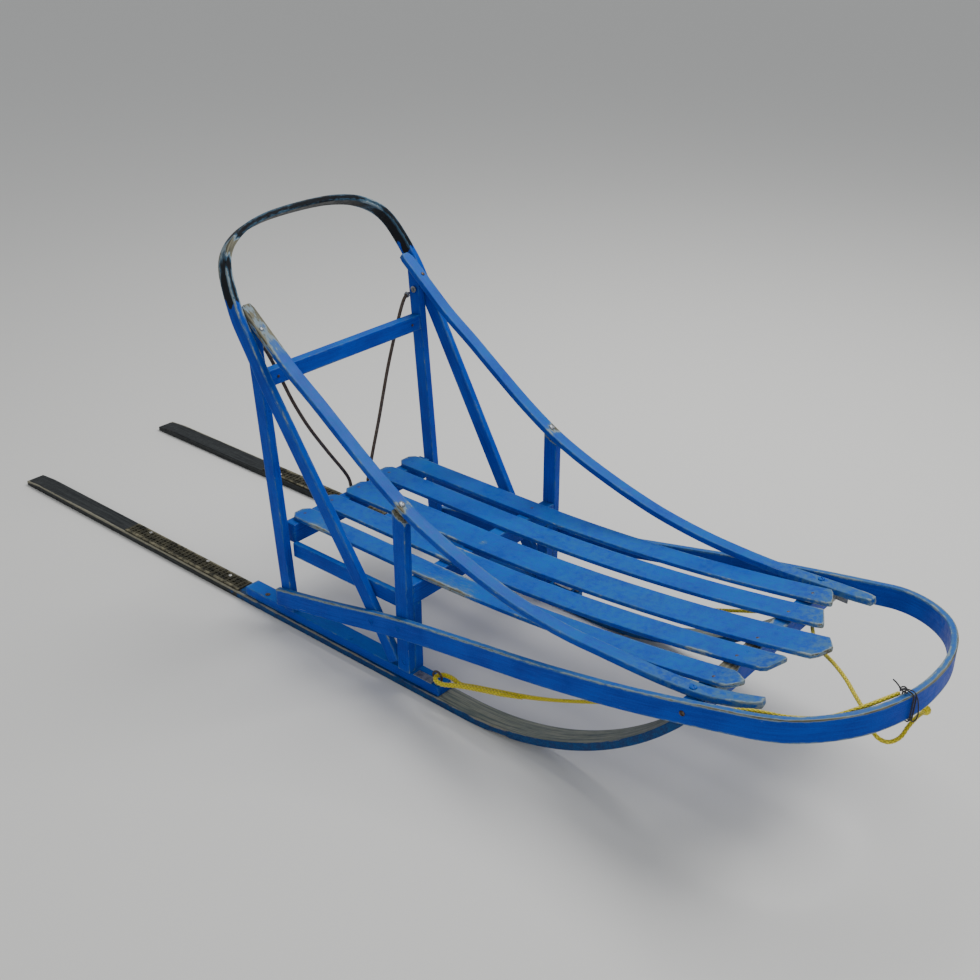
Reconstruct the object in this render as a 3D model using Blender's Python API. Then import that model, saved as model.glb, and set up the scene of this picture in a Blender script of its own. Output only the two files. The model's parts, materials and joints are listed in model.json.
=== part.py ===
"""Wooden basket dog sled: bent ash strips, slatted deck and a bent handlebar, bolted together.

X runs forward towards the bent brush bow, Y to the sled's left and Z up. Stations along the
sled (every x value below) are measured from the rear face of the front stanchions. The whole
sled hangs on one empty that moves those stations so that the origin is under its middle.
"""

import math

import bmesh
import bpy
from mathutils import Vector

# ---- Driving dimensions, in metres ----
GAP = 0.0003                 # clearance that touching pieces keep
RIGHT = -1                   # side factors: the right side is at -Y
LEFT = 1

TAIL_X = {RIGHT: -1.400, LEFT: -1.420}    # square tail ends of the runners, one worn shorter
TAIL_TAPER = 0.060            # length of the runner's thinned tail
TAIL_THINNING = 0.005
BOW_TIP_X = 1.000            # middle of the brush bow's strip at its very front
BOW_THICK = 0.0125
BOW_HEIGHT = 0.046
BOW_END_HEIGHT = 0.041

RUNNER_IN = 0.199            # the runner plank, from the middle plane outwards
RUNNER_OUT = 0.249
RUNNER_THICK = 0.017
RUNNER_BEND_X = 0.170        # where the flat sole starts to turn up
RUNNER_RADIUS = 0.667        # radius of the sole's bend

CAP_REAR_X = -0.490          # the second plank that doubles the runner under the stanchions
CAP_FRONT_X = 0.110
CAP_IN = 0.205
CAP_OUT = 0.2435
CAP_THICK = 0.0215

TREAD_REAR_X = -0.955        # rubber foot tread
TREAD_FRONT_X = -0.517
TREAD_IN = 0.203
TREAD_OUT = 0.2455
TREAD_THICK = 0.004

POST_IN = 0.2285             # both pairs of stanchions share these faces
POST_OUT = 0.2475
FRONT_POST_DEPTH = 0.033
REAR_POST_DEPTH = 0.030
REAR_POST_X = -0.3322        # middle of the rear stanchion, produced down to the floor
REAR_POST_LEAN = 0.078       # metres back per metre up

HOOP_X = 0.018               # plane of the handlebar: x = HOOP_X - HOOP_RAKE * z
HOOP_RAKE = 0.600
HOOP_WIDTH = 0.032           # along the plane's normal
HOOP_THICK = 0.016
HOOP_THINNING = 0.0025       # the grip is shaved thinner than the legs
HOOP_THIN_FROM = 0.700       # height where the shaving starts
HOOP_THIN_OVER = 0.130
HOOP_TOP = 0.8662            # height of the strip's middle at the very top

RAIL_HALF = 0.0145           # side rail, either side of its middle line
RAIL_THICK = 0.013
RAIL_END_CLIP = 0.020        # length of the clipped corner at its top end
RAIL_TIP = 0.085             # length over which its front end narrows
RAIL_TIP_SHARE = 0.25        # how much of the outer half is left at the very front
RAIL_TO_POST = 0.006         # packing space between the rail and the stanchion that carries it

DECK_Z = 0.252               # top of the slats where the deck is level
SLAT_THICK = 0.009
SLAT_CLIP = 0.014             # clipped corners at a slat's rear end
DECK_RISE = 0.053            # how far the deck has risen at DECK_RISE_X
DECK_RISE_X = 0.680
CROSS_DEPTH = 0.030
CROSS_HEIGHT = 0.045
FRONT_CROSS_X = 0.687
CROSSBAR_LOW = 0.561
CROSSBAR_HIGH = 0.595
CROSSBAR_DEPTH = 0.022

SIDE_BAR_IN = 0.215
SIDE_BAR_LOW = 0.174
SIDE_BAR_HIGH = 0.208

FRONT_CROSS_REACH = 0.2565   # half length of the front crosspiece
FRONT_CROSS_SHOULDER = 0.2050    # outside this, it is cut down for the rails to lie on

ROD_RADIUS = 0.004
ROPE_RADIUS = 0.004
TIE_RADIUS = 0.0013
TIE_TURNS = 1.86
TIE_CLEAR = 0.0022           # how loosely the tie goes round the bow

EYE_X = 0.1000
EYE_Y = 0.2345
EYE_Z = 0.0580
EYE_RADIUS = 0.0115
EYE_ROD = 0.0024
EYE_SWEEP = math.radians(318)

BRACKET_THICK = 0.0025       # sheet of the nose brackets
BRACKET_ARM = 0.026
BRACKET_LOW = 0.2560
BRACKET_HIGH = 0.2860
BRACKET_CLEAR = 0.0022       # from the bow's inner face

BOLT_SHANK = 0.0032
BOLT_SIDES = 12
SHARP_EDGE = math.radians(35)    # an edge that turns more than this is shaded sharp
HANDLEBAR_BOLT_HEAD = 0.0078
RAIL_BOLT_HEAD = 0.0068
SCREW_HEAD = 0.0045
BOW_BOLT_HEAD = 0.0055
FOOT_BOLT_HEAD = 0.0060
NUT_RADIUS = 0.0070
NUT_THICK = 0.0050
HANDLEBAR_BOLT_X = -0.3800
HANDLEBAR_BOLT_Z = 0.6530
HANDLEBAR_AT_BOLT = 0.2562   # middle of the handlebar's strip at the bolt
# Bolts of the rail: name, station, length, head.
RAIL_BOLTS = (
    ("rail_rear_bolt", -0.3600, RAIL_THICK - 0.001, SCREW_HEAD),
    ("rail_post_bolt", 0.0165, RAIL_THICK + 0.022, RAIL_BOLT_HEAD),
    ("rail_front_bolt", 0.6800, RAIL_THICK + 0.022, RAIL_BOLT_HEAD),
)
RAIL_BOLT_OUT = 0.004        # how far out of the rail's middle its bolts are
# Bolts through the bow into what stands inside it: name, station, length.
BOW_BOLTS = (
    ("bow_post_bolt", 0.0165, 0.026),
    ("bow_leg_bolt", -0.0600, 0.022),
    ("bow_front_bolt", FRONT_CROSS_X, 0.030),
)
FOOT_BOLT_AT = (0.0190, 0.0620)      # station and height
CAP_BOLTS = (("cap_rear_bolt", -0.424), ("cap_middle_bolt", -0.155))
CAP_BOLT_OUT = 0.2330
CAP_BOLT_LENGTH = CAP_THICK + 0.012

RUNNER_TOP = RUNNER_THICK
CAP_Z = RUNNER_TOP + GAP
CAP_TOP = CAP_Z + CAP_THICK
FOOT_Z = CAP_TOP + GAP
CROSS_TOP = DECK_Z - SLAT_THICK - GAP
HOOP_NORMAL = Vector((1.0, 0.0, HOOP_RAKE)).normalized()
BOW_TIP_Z = 0.3620           # top edge of the bow at its very front
MIDDLE_X = 0.5 * (TAIL_X[LEFT] + BOW_TIP_X + 0.5 * BOW_THICK)

# Hand-chosen points of the bent strips. Side rail: station, distance out, top face height.
RAIL_ROUTE = (
    (-0.409, 0.2315, 0.7315), (-0.357, 0.2315, 0.6885), (-0.281, 0.2310, 0.6260),
    (-0.205, 0.2310, 0.5740), (-0.127, 0.2310, 0.5175), (-0.050, 0.2310, 0.4640),
    (0.025, 0.2310, 0.4190), (0.090, 0.2315, 0.3890), (0.160, 0.2320, 0.3630),
    (0.240, 0.2325, 0.3380), (0.319, 0.2320, 0.3190), (0.412, 0.2300, 0.3060),
    (0.496, 0.2265, 0.3015), (0.579, 0.2250, 0.2995), (0.640, 0.2245, 0.3010),
    (0.700, 0.2220, 0.3045), (0.750, 0.2140, 0.3110), (0.797, 0.2060, 0.3200),
)
# Brush bow: station, distance out to the middle of the strip, top edge height.
BOW_ROUTE = (
    (-0.360, 0.2542, 0.0930), (-0.200, 0.2542, 0.1250), (-0.030, 0.2542, 0.1630),
    (0.080, 0.2555, 0.1835), (0.230, 0.2620, 0.2110), (0.360, 0.2685, 0.2350),
    (0.480, 0.2718, 0.2590), (0.580, 0.2705, 0.2790), (0.680, 0.2650, 0.3000),
    (0.776, 0.2575, 0.3200), (0.826, 0.2515, 0.3305), (0.872, 0.2345, 0.3385),
    (0.916, 0.2040, 0.3470), (0.954, 0.1630, 0.3540), (0.981, 0.1110, 0.3590),
    (0.996, 0.0550, 0.3612),
)
# Handlebar, from its foot to beside its top: distance out to the strip's middle, height.
HOOP_ROUTE = (
    (0.2392, 0.020), (0.2392, 0.095), (0.2392, 0.170), (0.2430, 0.275), (0.2475, 0.385),
    (0.2520, 0.495), (0.2560, 0.592), (0.2561, 0.650), (0.2559, 0.702), (0.2508, 0.738), (0.2452, 0.765),
    (0.2372, 0.791), (0.2240, 0.8130), (0.2030, 0.8310), (0.1740, 0.8455), (0.1430, 0.8550),
    (0.0960, 0.8625), (0.0480, 0.8655),
)
SQUARE_CORNER = (0.004, 0.004)   # how far a cut front corner reaches along and across
# Slats: name, right and left edge, rear and front station, cut of the right and left front corner.
SLATS = (
    ("slat_right_outer", -0.198, -0.147, -0.366, 0.743, (0.018, 0.026), (0.028, 0.020)),
    ("slat_right_inner", -0.120, -0.065, -0.370, 0.768, (0.016, 0.048), (0.008, 0.005)),
    ("slat_middle", -0.045, 0.027, -0.363, 0.818, (0.016, 0.038), (0.020, 0.030)),
    ("slat_left_inner", 0.060, 0.118, -0.373, 0.766, SQUARE_CORNER, (0.026, 0.050)),
    ("slat_left_outer", 0.141, 0.195, -0.370, 0.742, SQUARE_CORNER, (0.022, 0.046)),
)
# Tow rope on the right side: spliced tail, teardrop eye through the eyebolt, then forward.
RIGHT_ROPE = (
    (0.315, -0.2285, 0.1030), (0.255, -0.2330, 0.0900), (0.195, -0.2375, 0.0760),
    (0.158, -0.2420, 0.0670), (0.128, -0.2495, 0.0600), (0.106, -0.2465, 0.0580),
    (0.0975, -0.2345, 0.0580), (0.106, -0.2225, 0.0580), (0.128, -0.2215, 0.0600),
    (0.160, -0.2310, 0.0650), (0.195, -0.2280, 0.0735), (0.255, -0.2230, 0.0875),
    (0.315, -0.2180, 0.1020), (0.390, -0.2130, 0.1270), (0.480, -0.2080, 0.1640),
    (0.560, -0.2010, 0.1980), (0.625, -0.1900, 0.2270), (0.672, -0.1860, 0.2400),
    (0.702, -0.1870, 0.2440), (0.722, -0.2010, 0.2605), (0.742, -0.2230, 0.2830),
    (0.766, -0.2380, 0.3050), (0.806, -0.2360, 0.3205), (0.855, -0.2195, 0.3235),
    (0.902, -0.1895, 0.3300), (0.937, -0.1540, 0.3445),
    (0.960, -0.1180, 0.3525), (0.9725, -0.0900, 0.3545),
)
KNOT_CENTRE = (0.9965, -0.0190, 0.2915)
KNOT_RADIUS = 0.0088
# The same rope on the left side. It crosses in front of the deck to the right of the bow.
LEFT_ROPE = (
    (0.315, 0.2285, 0.1030), (0.255, 0.2330, 0.0900), (0.195, 0.2375, 0.0760),
    (0.158, 0.2420, 0.0670), (0.128, 0.2495, 0.0600), (0.106, 0.2465, 0.0580),
    (0.0975, 0.2345, 0.0580), (0.106, 0.2225, 0.0580), (0.128, 0.2215, 0.0600),
    (0.160, 0.2310, 0.0650), (0.195, 0.2280, 0.0735), (0.255, 0.2230, 0.0875),
    (0.315, 0.2170, 0.1020), (0.390, 0.2080, 0.1270), (0.480, 0.1980, 0.1640),
    (0.560, 0.1900, 0.1980), (0.625, 0.1870, 0.2250), (0.672, 0.1830, 0.2380),
    (0.692, 0.1780, 0.2420), (0.713, 0.1420, 0.2460), (0.745, 0.0880, 0.2620),
    (0.785, 0.0350, 0.2830), (0.824, -0.0020, 0.2950), (0.860, -0.0340, 0.2990),
    (0.892, -0.0660, 0.3000), (0.918, -0.0920, 0.3010), (0.938, -0.1150, 0.3020),
    (0.953, -0.1320, 0.2990), (0.969, -0.1370, 0.2910), (0.984, -0.1300, 0.2870),
    (0.9935, -0.1100, 0.2890), (0.9950, -0.0840, 0.2970), (0.9960, -0.0560, 0.2990),
    (0.9964, -0.0288, 0.2935),
)
# Brace rods: the bent top end, the same on both sides, and the foot of each side's rod.
ROD_TOP = (
    (-0.3925, 0.2238, 0.6430), (-0.3925, 0.2080, 0.6350), (-0.3925, 0.1920, 0.6060),
    (-0.3910, 0.1680, 0.5500), (-0.3885, 0.1430, 0.4900),
)
ROD_FOOT = {
    RIGHT: ((-0.3855, 0.1080, 0.4220), (-0.3820, 0.0630, 0.3500), (-0.3770, 0.0130, 0.2720),
            (-0.3730, 0.0050, 0.2340)),
    LEFT: ((-0.3860, 0.1230, 0.4350), (-0.3835, 0.1000, 0.3680), (-0.3785, 0.0720, 0.3010),
           (-0.3735, 0.0455, 0.2330)),
}
ROPE_STEP = 0.0265           # spacing of the points along each rope
TIE_STATION = 0.087          # distance right of the middle plane where the tie wraps the bow


# ---- Materials ----
def material(name, colour, roughness, metallic=0.0):
    made = bpy.data.materials.new(name)
    made.use_nodes = True
    shader = made.node_tree.nodes["Principled BSDF"]
    shader.inputs["Base Color"].default_value = (*colour, 1.0)
    shader.inputs["Roughness"].default_value = roughness
    shader.inputs["Metallic"].default_value = metallic
    return made


def blue_paint():
    return material("blue_paint", (0.004, 0.115, 0.440), 0.48)


def worn_runner_wood():
    return material("worn_runner_wood", (0.035, 0.045, 0.058), 0.60)


def tread_rubber():
    return material("tread_rubber", (0.030, 0.031, 0.033), 0.80)


def rusty_steel():
    return material("rusty_steel", (0.085, 0.045, 0.030), 0.62, 0.6)


def plain_steel():
    return material("plain_steel", (0.330, 0.330, 0.340), 0.42, 0.9)


def yellow_rope():
    return material("yellow_rope", (0.720, 0.620, 0.020), 0.65)


def black_cord():
    return material("black_cord", (0.010, 0.010, 0.012), 0.60)


# ---- Shape helpers ----
def side_name(side):
    return "left" if side == LEFT else "right"


def smooth_through(route, steps):
    """Points of a smooth curve through the route's own points, with this many to each span."""
    knots = [Vector(point) for point in route]
    first = 2 * knots[0] - knots[1]
    last = 2 * knots[-1] - knots[-2]
    padded = [first, *knots, last]
    points = []
    for a, b, c, d in zip(padded, padded[1:], padded[2:], padded[3:]):
        for step in range(steps):
            t = step / steps
            points.append(
                0.5 * ((2 * b) + (c - a) * t + (2 * a - 5 * b + 4 * c - d) * t ** 2
                       + (3 * b - a - 3 * c + d) * t ** 3)
            )
    points.append(knots[-1])
    return points


def spaced(points, count):
    """The same line with count points at even spacing."""
    lengths = [0.0]
    for a, b in zip(points, points[1:]):
        lengths.append(lengths[-1] + (b - a).length)
    even = []
    span = 0
    for index in range(count):
        target = lengths[-1] * index / (count - 1)
        while span < len(points) - 2 and lengths[span + 1] < target:
            span += 1
        share = (target - lengths[span]) / (lengths[span + 1] - lengths[span])
        even.append(points[span].lerp(points[span + 1], share))
    return even


def length_of(points):
    return sum((b - a).length for a, b in zip(points, points[1:]))


def tangents(points):
    ends = [points[0], *points, points[-1]]
    return [(after - before).normalized() for before, after in zip(ends, ends[2:])]


def add_object(name, data, finish):
    data.materials.append(finish)
    made = bpy.data.objects.new(name, data)
    bpy.context.scene.collection.objects.link(made)
    made.parent = sled
    return made


def closed_mesh(name, rings):
    """A mesh through rings of corners, with a flat cap at each end and its faces pointing out."""
    shape = bmesh.new()
    loops = [[shape.verts.new(corner) for corner in ring] for ring in rings]
    for here, there in zip(loops, loops[1:]):
        for index in range(len(here)):
            following = (index + 1) % len(here)
            shape.faces.new((here[index], here[following], there[following], there[index]))
    shape.faces.new(loops[0])
    shape.faces.new(loops[-1])
    bmesh.ops.recalc_face_normals(shape, faces=shape.faces)
    mesh = bpy.data.meshes.new(name)
    shape.to_mesh(mesh)
    shape.free()
    return mesh


def strip(name, rings, finish):
    return add_object(name, closed_mesh(name, rings), finish)


def block(name, low, high, finish):
    """A plank with square edges between two corners."""
    x0, y0, z0 = low
    x1, y1, z1 = high
    ring = ((y0, z0), (y1, z0), (y1, z1), (y0, z1))
    return strip(name, [[(x, y, z) for y, z in ring] for x in (x0, x1)], finish)


def side_block(name, side, x_span, y_span, z_span, finish):
    """A plank on one side of the sled; y_span is measured outwards from the middle plane."""
    low, high = sorted(side * y for y in y_span)
    return block(f"{name}_{side_name(side)}", (x_span[0], low, z_span[0]),
                 (x_span[1], high, z_span[1]), finish)


def trim(piece, point, normal):
    """Cuts away what lies beyond a plane and closes the cut."""
    shape = bmesh.new()
    shape.from_mesh(piece.data)
    everything = [*shape.verts, *shape.edges, *shape.faces]
    cut = bmesh.ops.bisect_plane(shape, geom=everything, plane_co=point, plane_no=normal,
                                 clear_outer=True, dist=1e-7)
    rim = [item for item in cut["geom_cut"] if isinstance(item, bmesh.types.BMEdge)]
    bmesh.ops.edgeloop_fill(shape, edges=rim)
    bmesh.ops.recalc_face_normals(shape, faces=shape.faces)
    shape.to_mesh(piece.data)
    shape.free()


def turned(name, profile, place, axis, finish):
    """A round solid from (radius, distance along the axis) pairs, the first and last on the axis."""
    axis = Vector(axis).normalized()
    across = axis.orthogonal().normalized()
    third = axis.cross(across)
    place = Vector(place)
    shape = bmesh.new()
    start = shape.verts.new(place + axis * profile[0][1])
    end = shape.verts.new(place + axis * profile[-1][1])
    rings = []
    for radius, along in profile[1:-1]:
        turns = [2 * math.pi * index / BOLT_SIDES for index in range(BOLT_SIDES)]
        rings.append([
            shape.verts.new(place + axis * along
                            + radius * (math.cos(turn) * across + math.sin(turn) * third))
            for turn in turns
        ])
    for index in range(BOLT_SIDES):
        following = (index + 1) % BOLT_SIDES
        shape.faces.new((start, rings[0][index], rings[0][following]))
        shape.faces.new((end, rings[-1][following], rings[-1][index]))
        for here, there in zip(rings, rings[1:]):
            shape.faces.new((here[index], here[following], there[following], there[index]))
    bmesh.ops.recalc_face_normals(shape, faces=shape.faces)
    mesh = bpy.data.meshes.new(name)
    shape.to_mesh(mesh)
    shape.free()
    mesh.shade_smooth()
    mesh.set_sharp_from_angle(angle=SHARP_EDGE)
    return add_object(name, mesh, finish)


def tube(name, points, radius, finish):
    """A round bar or cord along a line of points, closed at both ends."""
    curve = bpy.data.curves.new(name, "CURVE")
    curve.dimensions = "3D"
    curve.bevel_depth = radius
    curve.bevel_resolution = 2
    curve.use_fill_caps = True
    spline = curve.splines.new("POLY")
    spline.points.add(len(points) - 1)
    for slot, point in zip(spline.points, points):
        slot.co = (*point, 1.0)
    return add_object(name, curve, finish)


def drill(piece, place, axis, radius, depth):
    """A round hole through a piece, made by a hidden cutter."""
    axis = Vector(axis).normalized()
    cutter = turned(f"cutter_{len(bpy.data.objects)}",
                    ((0, -depth), (radius, -depth), (radius, depth), (0, depth)),
                    place, axis, piece.data.materials[0])
    cutter.hide_render = True
    cutter.display_type = "WIRE"
    hole = piece.modifiers.new("bolt_hole", "BOOLEAN")
    hole.object = cutter
    hole.operation = "DIFFERENCE"
    hole.solver = "EXACT"


def bolt(name, seat, inward, length, pieces, finish, head, nut=False):
    """A round-headed bolt whose head sits on `seat`, with a hole for it in each piece."""
    inward = Vector(inward).normalized()
    rise = 0.35 * head
    profile = [(0, -rise - GAP), (0.62 * head, -0.8 * rise - GAP), (head, -0.2 * rise - GAP),
               (head, -GAP), (BOLT_SHANK, -GAP)]
    if nut:
        start = length + GAP
        end = start + NUT_THICK
        tip = end + 0.4 * NUT_THICK
        profile += [(BOLT_SHANK, start), (NUT_RADIUS, start), (NUT_RADIUS, end),
                    (BOLT_SHANK, end), (BOLT_SHANK, tip), (0, tip)]
    else:
        profile += [(BOLT_SHANK, length), (0, length)]
    turned(name, profile, seat, inward, finish)
    for piece in pieces:
        drill(piece, Vector(seat) + 0.5 * length * inward, inward, BOLT_SHANK + GAP,
              0.5 * length + 0.004)


# ---- Lines and planes that several pieces share ----
def deck_top(x):
    return DECK_Z + DECK_RISE * (max(x, 0.0) / DECK_RISE_X) ** 2


def deck_under(x):
    return deck_top(x) - SLAT_THICK - GAP


def rear_post_middle(z):
    return REAR_POST_X - REAR_POST_LEAN * z


def hoop_plane(z):
    return HOOP_X - HOOP_RAKE * z


def rail_line():
    return smooth_through(RAIL_ROUTE, 2)


def rail_at(x):
    """Middle of the rail's top face and its direction at a station."""
    line = smooth_through(RAIL_ROUTE, 8)
    for here, there in zip(line, line[1:]):
        if here.x <= x <= there.x:
            return here.lerp(there, (x - here.x) / (there.x - here.x)), (there - here).normalized()
    raise ValueError(x)


def rail_normal(direction):
    across = Vector((0.0, 1.0, 0.0))
    return direction.cross(across).normalized()


def bow_line():
    right = [Vector((x, -y, z)) for x, y, z in BOW_ROUTE]
    left = [Vector((x, y, z)) for x, y, z in reversed(BOW_ROUTE)]
    tip = Vector((BOW_TIP_X, 0.0, BOW_TIP_Z))
    return smooth_through([*right, tip, *left], 2)


def bow_at(y):
    """A point of the bow's top middle line at a distance across the sled, and its direction."""
    right = [Vector((px, -py, pz)) for px, py, pz in BOW_ROUTE[9:]]
    line = smooth_through([*right, Vector((BOW_TIP_X, 0.0, BOW_TIP_Z))], 8)
    for here, there in zip(line, line[1:]):
        if here.y <= y <= there.y:
            return here.lerp(there, (y - here.y) / (there.y - here.y)), (there - here).normalized()
    raise ValueError(y)


def bow_face(x, side):
    """The outer face of the bow at a station, at mid height, and the direction into it."""
    line = smooth_through([(px, py, pz) for px, py, pz in BOW_ROUTE[:11]], 8)
    for here, there in zip(line, line[1:]):
        if here.x <= x <= there.x:
            point = here.lerp(there, (x - here.x) / (there.x - here.x))
            way = (there - here).normalized()
            outward = Vector((-way.y, way.x, 0.0)).normalized()
            seat = point + 0.5 * BOW_THICK * outward
            seat.z -= 0.5 * BOW_HEIGHT
            return (Vector((seat.x, side * seat.y, seat.z)),
                    Vector((-outward.x, -side * outward.y, 0.0)))
    raise ValueError(x)


# ---- Runners ----
def make_runner(side, finish):
    """One plank, flat to the bend and then turned up to sit under the front crosspiece."""
    nose_z = deck_under(FRONT_CROSS_X) - CROSS_HEIGHT - 2 * GAP
    centre_z = RUNNER_RADIUS
    inner_radius = RUNNER_RADIUS - RUNNER_THICK
    low, high = sorted((side * RUNNER_IN, side * RUNNER_OUT))

    def ring(bottom, top):
        return [(bottom[0], low, bottom[1]), (bottom[0], high, bottom[1]),
                (top[0], high, top[1]), (top[0], low, top[1])]

    tail = TAIL_X[side]
    rings = [ring((tail, 0), (tail, RUNNER_THICK - TAIL_THINNING)),
             ring((tail + TAIL_TAPER, 0), (tail + TAIL_TAPER, RUNNER_THICK)),
             ring((CAP_REAR_X, 0), (CAP_REAR_X, RUNNER_THICK))]
    last_turn = math.acos((centre_z - nose_z) / inner_radius) - math.radians(2.0)
    steps = 16
    for step in range(steps + 1):
        turn = last_turn * step / steps
        sine, cosine = math.sin(turn), math.cos(turn)
        rings.append(ring(
            (RUNNER_BEND_X + RUNNER_RADIUS * sine, centre_z - RUNNER_RADIUS * cosine),
            (RUNNER_BEND_X + inner_radius * sine, centre_z - inner_radius * cosine),
        ))
    drop = centre_z - nose_z
    rings.append(ring(
        (RUNNER_BEND_X + math.sqrt(RUNNER_RADIUS ** 2 - drop ** 2), nose_z),
        (RUNNER_BEND_X + math.sqrt(inner_radius ** 2 - drop ** 2), nose_z),
    ))
    return strip(f"runner_{side_name(side)}", rings, finish)


def make_cap(side, finish):
    return side_block("runner_cap", side, (CAP_REAR_X, CAP_FRONT_X), (CAP_IN, CAP_OUT),
                      (CAP_Z, CAP_TOP), finish)


def make_tread(side, finish):
    return side_block("foot_tread", side, (TREAD_REAR_X, TREAD_FRONT_X), (TREAD_IN, TREAD_OUT),
                      (CAP_Z, CAP_Z + TREAD_THICK), finish)


# ---- Upright frame ----
def post_top_cut(post, x):
    """Trims a stanchion parallel to the rail above it."""
    top, direction = rail_at(x)
    normal = rail_normal(direction)
    trim(post, top - normal * (RAIL_THICK + RAIL_TO_POST), normal)


def make_front_post(side, finish):
    post = side_block("front_stanchion", side, (0.0, FRONT_POST_DEPTH), (POST_IN, POST_OUT),
                      (FOOT_Z, 0.450), finish)
    post_top_cut(post, 0.5 * FRONT_POST_DEPTH)
    return post


def make_rear_post(side, finish):
    low, high = sorted((side * POST_IN, side * POST_OUT))
    half = 0.5 * REAR_POST_DEPTH
    rings = []
    for z in (FOOT_Z, 0.730):
        x = rear_post_middle(z)
        rings.append([(x - half, low, z), (x + half, low, z), (x + half, high, z),
                      (x - half, high, z)])
    post = strip(f"rear_stanchion_{side_name(side)}", rings, finish)
    post_top_cut(post, rear_post_middle(0.695))
    return post


def make_post_block(side, finish):
    """The short upright inside a front stanchion, which carries the middle crosspiece."""
    return side_block("front_post_block", side, (0.004, FRONT_POST_DEPTH),
                      (0.2045, POST_IN - GAP), (FOOT_Z, CROSS_TOP - CROSS_HEIGHT - GAP), finish)


def make_side_bar(side, finish):
    return side_block("lower_side_bar", side, (-0.327, 0.0030),
                      (SIDE_BAR_IN, POST_IN - GAP), (SIDE_BAR_LOW, SIDE_BAR_HIGH), finish)


def make_crosspieces(finish):
    """Bars that the slats are screwed to. The front one is stepped at each end for a rail."""
    reach = POST_IN - GAP
    rear_x = rear_post_middle(CROSS_TOP - 0.5 * CROSS_HEIGHT)
    rear = block("crosspiece_rear", (rear_x - 0.5 * CROSS_DEPTH, -SIDE_BAR_IN + GAP,
                                     CROSS_TOP - CROSS_HEIGHT),
                 (rear_x + 0.5 * CROSS_DEPTH, SIDE_BAR_IN - GAP, CROSS_TOP), finish)
    middle = block("crosspiece_middle", (0.0035, -reach, CROSS_TOP - CROSS_HEIGHT),
                   (FRONT_POST_DEPTH, reach, CROSS_TOP), finish)
    front = make_front_crosspiece(finish)
    return rear, middle, front


def make_front_crosspiece(finish):
    reach = FRONT_CROSS_REACH
    shoulder = FRONT_CROSS_SHOULDER
    x0 = FRONT_CROSS_X - 0.5 * CROSS_DEPTH
    x1 = FRONT_CROSS_X + 0.5 * CROSS_DEPTH
    top = deck_under(x0)
    low = deck_under(FRONT_CROSS_X) - CROSS_HEIGHT
    rail_top, _ = rail_at(x0)
    seat = rail_top.z - RAIL_THICK - 2 * GAP
    outline = ((-reach, low), (reach, low), (reach, seat), (shoulder, seat),
               (shoulder, top), (-shoulder, top), (-shoulder, seat), (-reach, seat))
    return strip("crosspiece_front", [[(x, y, z) for y, z in outline] for x in (x0, x1)],
                 finish)


def make_crossbar(finish):
    """The bar between the rear stanchions, leaning with them."""
    rings = []
    reach = POST_IN - GAP
    for y in (-reach, reach):
        ring = []
        for z, back in ((CROSSBAR_LOW, 0.0), (CROSSBAR_HIGH, 0.0),
                        (CROSSBAR_HIGH, CROSSBAR_DEPTH), (CROSSBAR_LOW, CROSSBAR_DEPTH)):
            face = rear_post_middle(z) + 0.5 * REAR_POST_DEPTH - 0.001
            ring.append((face - back, y, z))
        rings.append(ring)
    return strip("upper_crossbar", rings, finish)


def make_handlebar(finish):
    """One bent strip: down the right leg from the right foot, over the top and down again."""
    right = [Vector((0.0, -y, z)) for y, z in HOOP_ROUTE]
    left = [Vector((0.0, -p.y, p.z)) for p in reversed(right)]
    line = smooth_through([*right, Vector((0.0, 0.0, HOOP_TOP)), *left], 2)
    line = [Vector((hoop_plane(p.z), p.y, p.z)) for p in line]
    rings = []
    for point, way in zip(line, tangents(line)):
        shaved = min(1.0, max(0.0, (point.z - HOOP_THIN_FROM) / HOOP_THIN_OVER))
        thick = HOOP_THICK - HOOP_THINNING * shaved
        across = HOOP_NORMAL * 0.5 * HOOP_WIDTH
        through = way.cross(HOOP_NORMAL).normalized() * 0.5 * thick
        rings.append([point - across - through, point + across - through,
                      point + across + through, point - across + through])
    bar = strip("handlebar", rings, finish)
    trim(bar, Vector((0.0, 0.0, FOOT_Z)), Vector((0.0, 0.0, -1.0)))
    return bar


def split_foot_cut(bar):
    """Lets each foot of the handlebar butt against the front stanchion."""
    trim(bar, Vector((-GAP, 0.0, 0.0)), Vector((1.0, 0.0, 0.0)))


def make_rail(side, finish):
    """A thin strip laid flat along the stanchion tops. Both its ends are rounded off."""
    line = rail_line()
    ways = tangents(line)
    total = length_of(line)
    travelled = 0.0
    rings = []
    for index, (point, way) in enumerate(zip(line, ways)):
        if index:
            travelled += (point - line[index - 1]).length
        normal = rail_normal(way)
        across = normal.cross(way).normalized()
        if across.y < 0:
            across = -across
        from_front = total - travelled
        outer = RAIL_HALF
        if from_front < RAIL_TIP:
            roundness = math.sqrt(1 - (1 - from_front / RAIL_TIP) ** 2)
            outer = RAIL_HALF * (RAIL_TIP_SHARE + (1 - RAIL_TIP_SHARE) * roundness)
        if travelled < RAIL_END_CLIP:
            outer = RAIL_HALF - 0.5 * (RAIL_END_CLIP - travelled)
        corners = [point - across * RAIL_HALF, point + across * outer]
        corners += [corner - normal * RAIL_THICK for corner in reversed(corners)]
        rings.append([Vector((c.x, side * c.y, c.z)) for c in corners])
    return strip(f"side_rail_{side_name(side)}", rings, finish)


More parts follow.
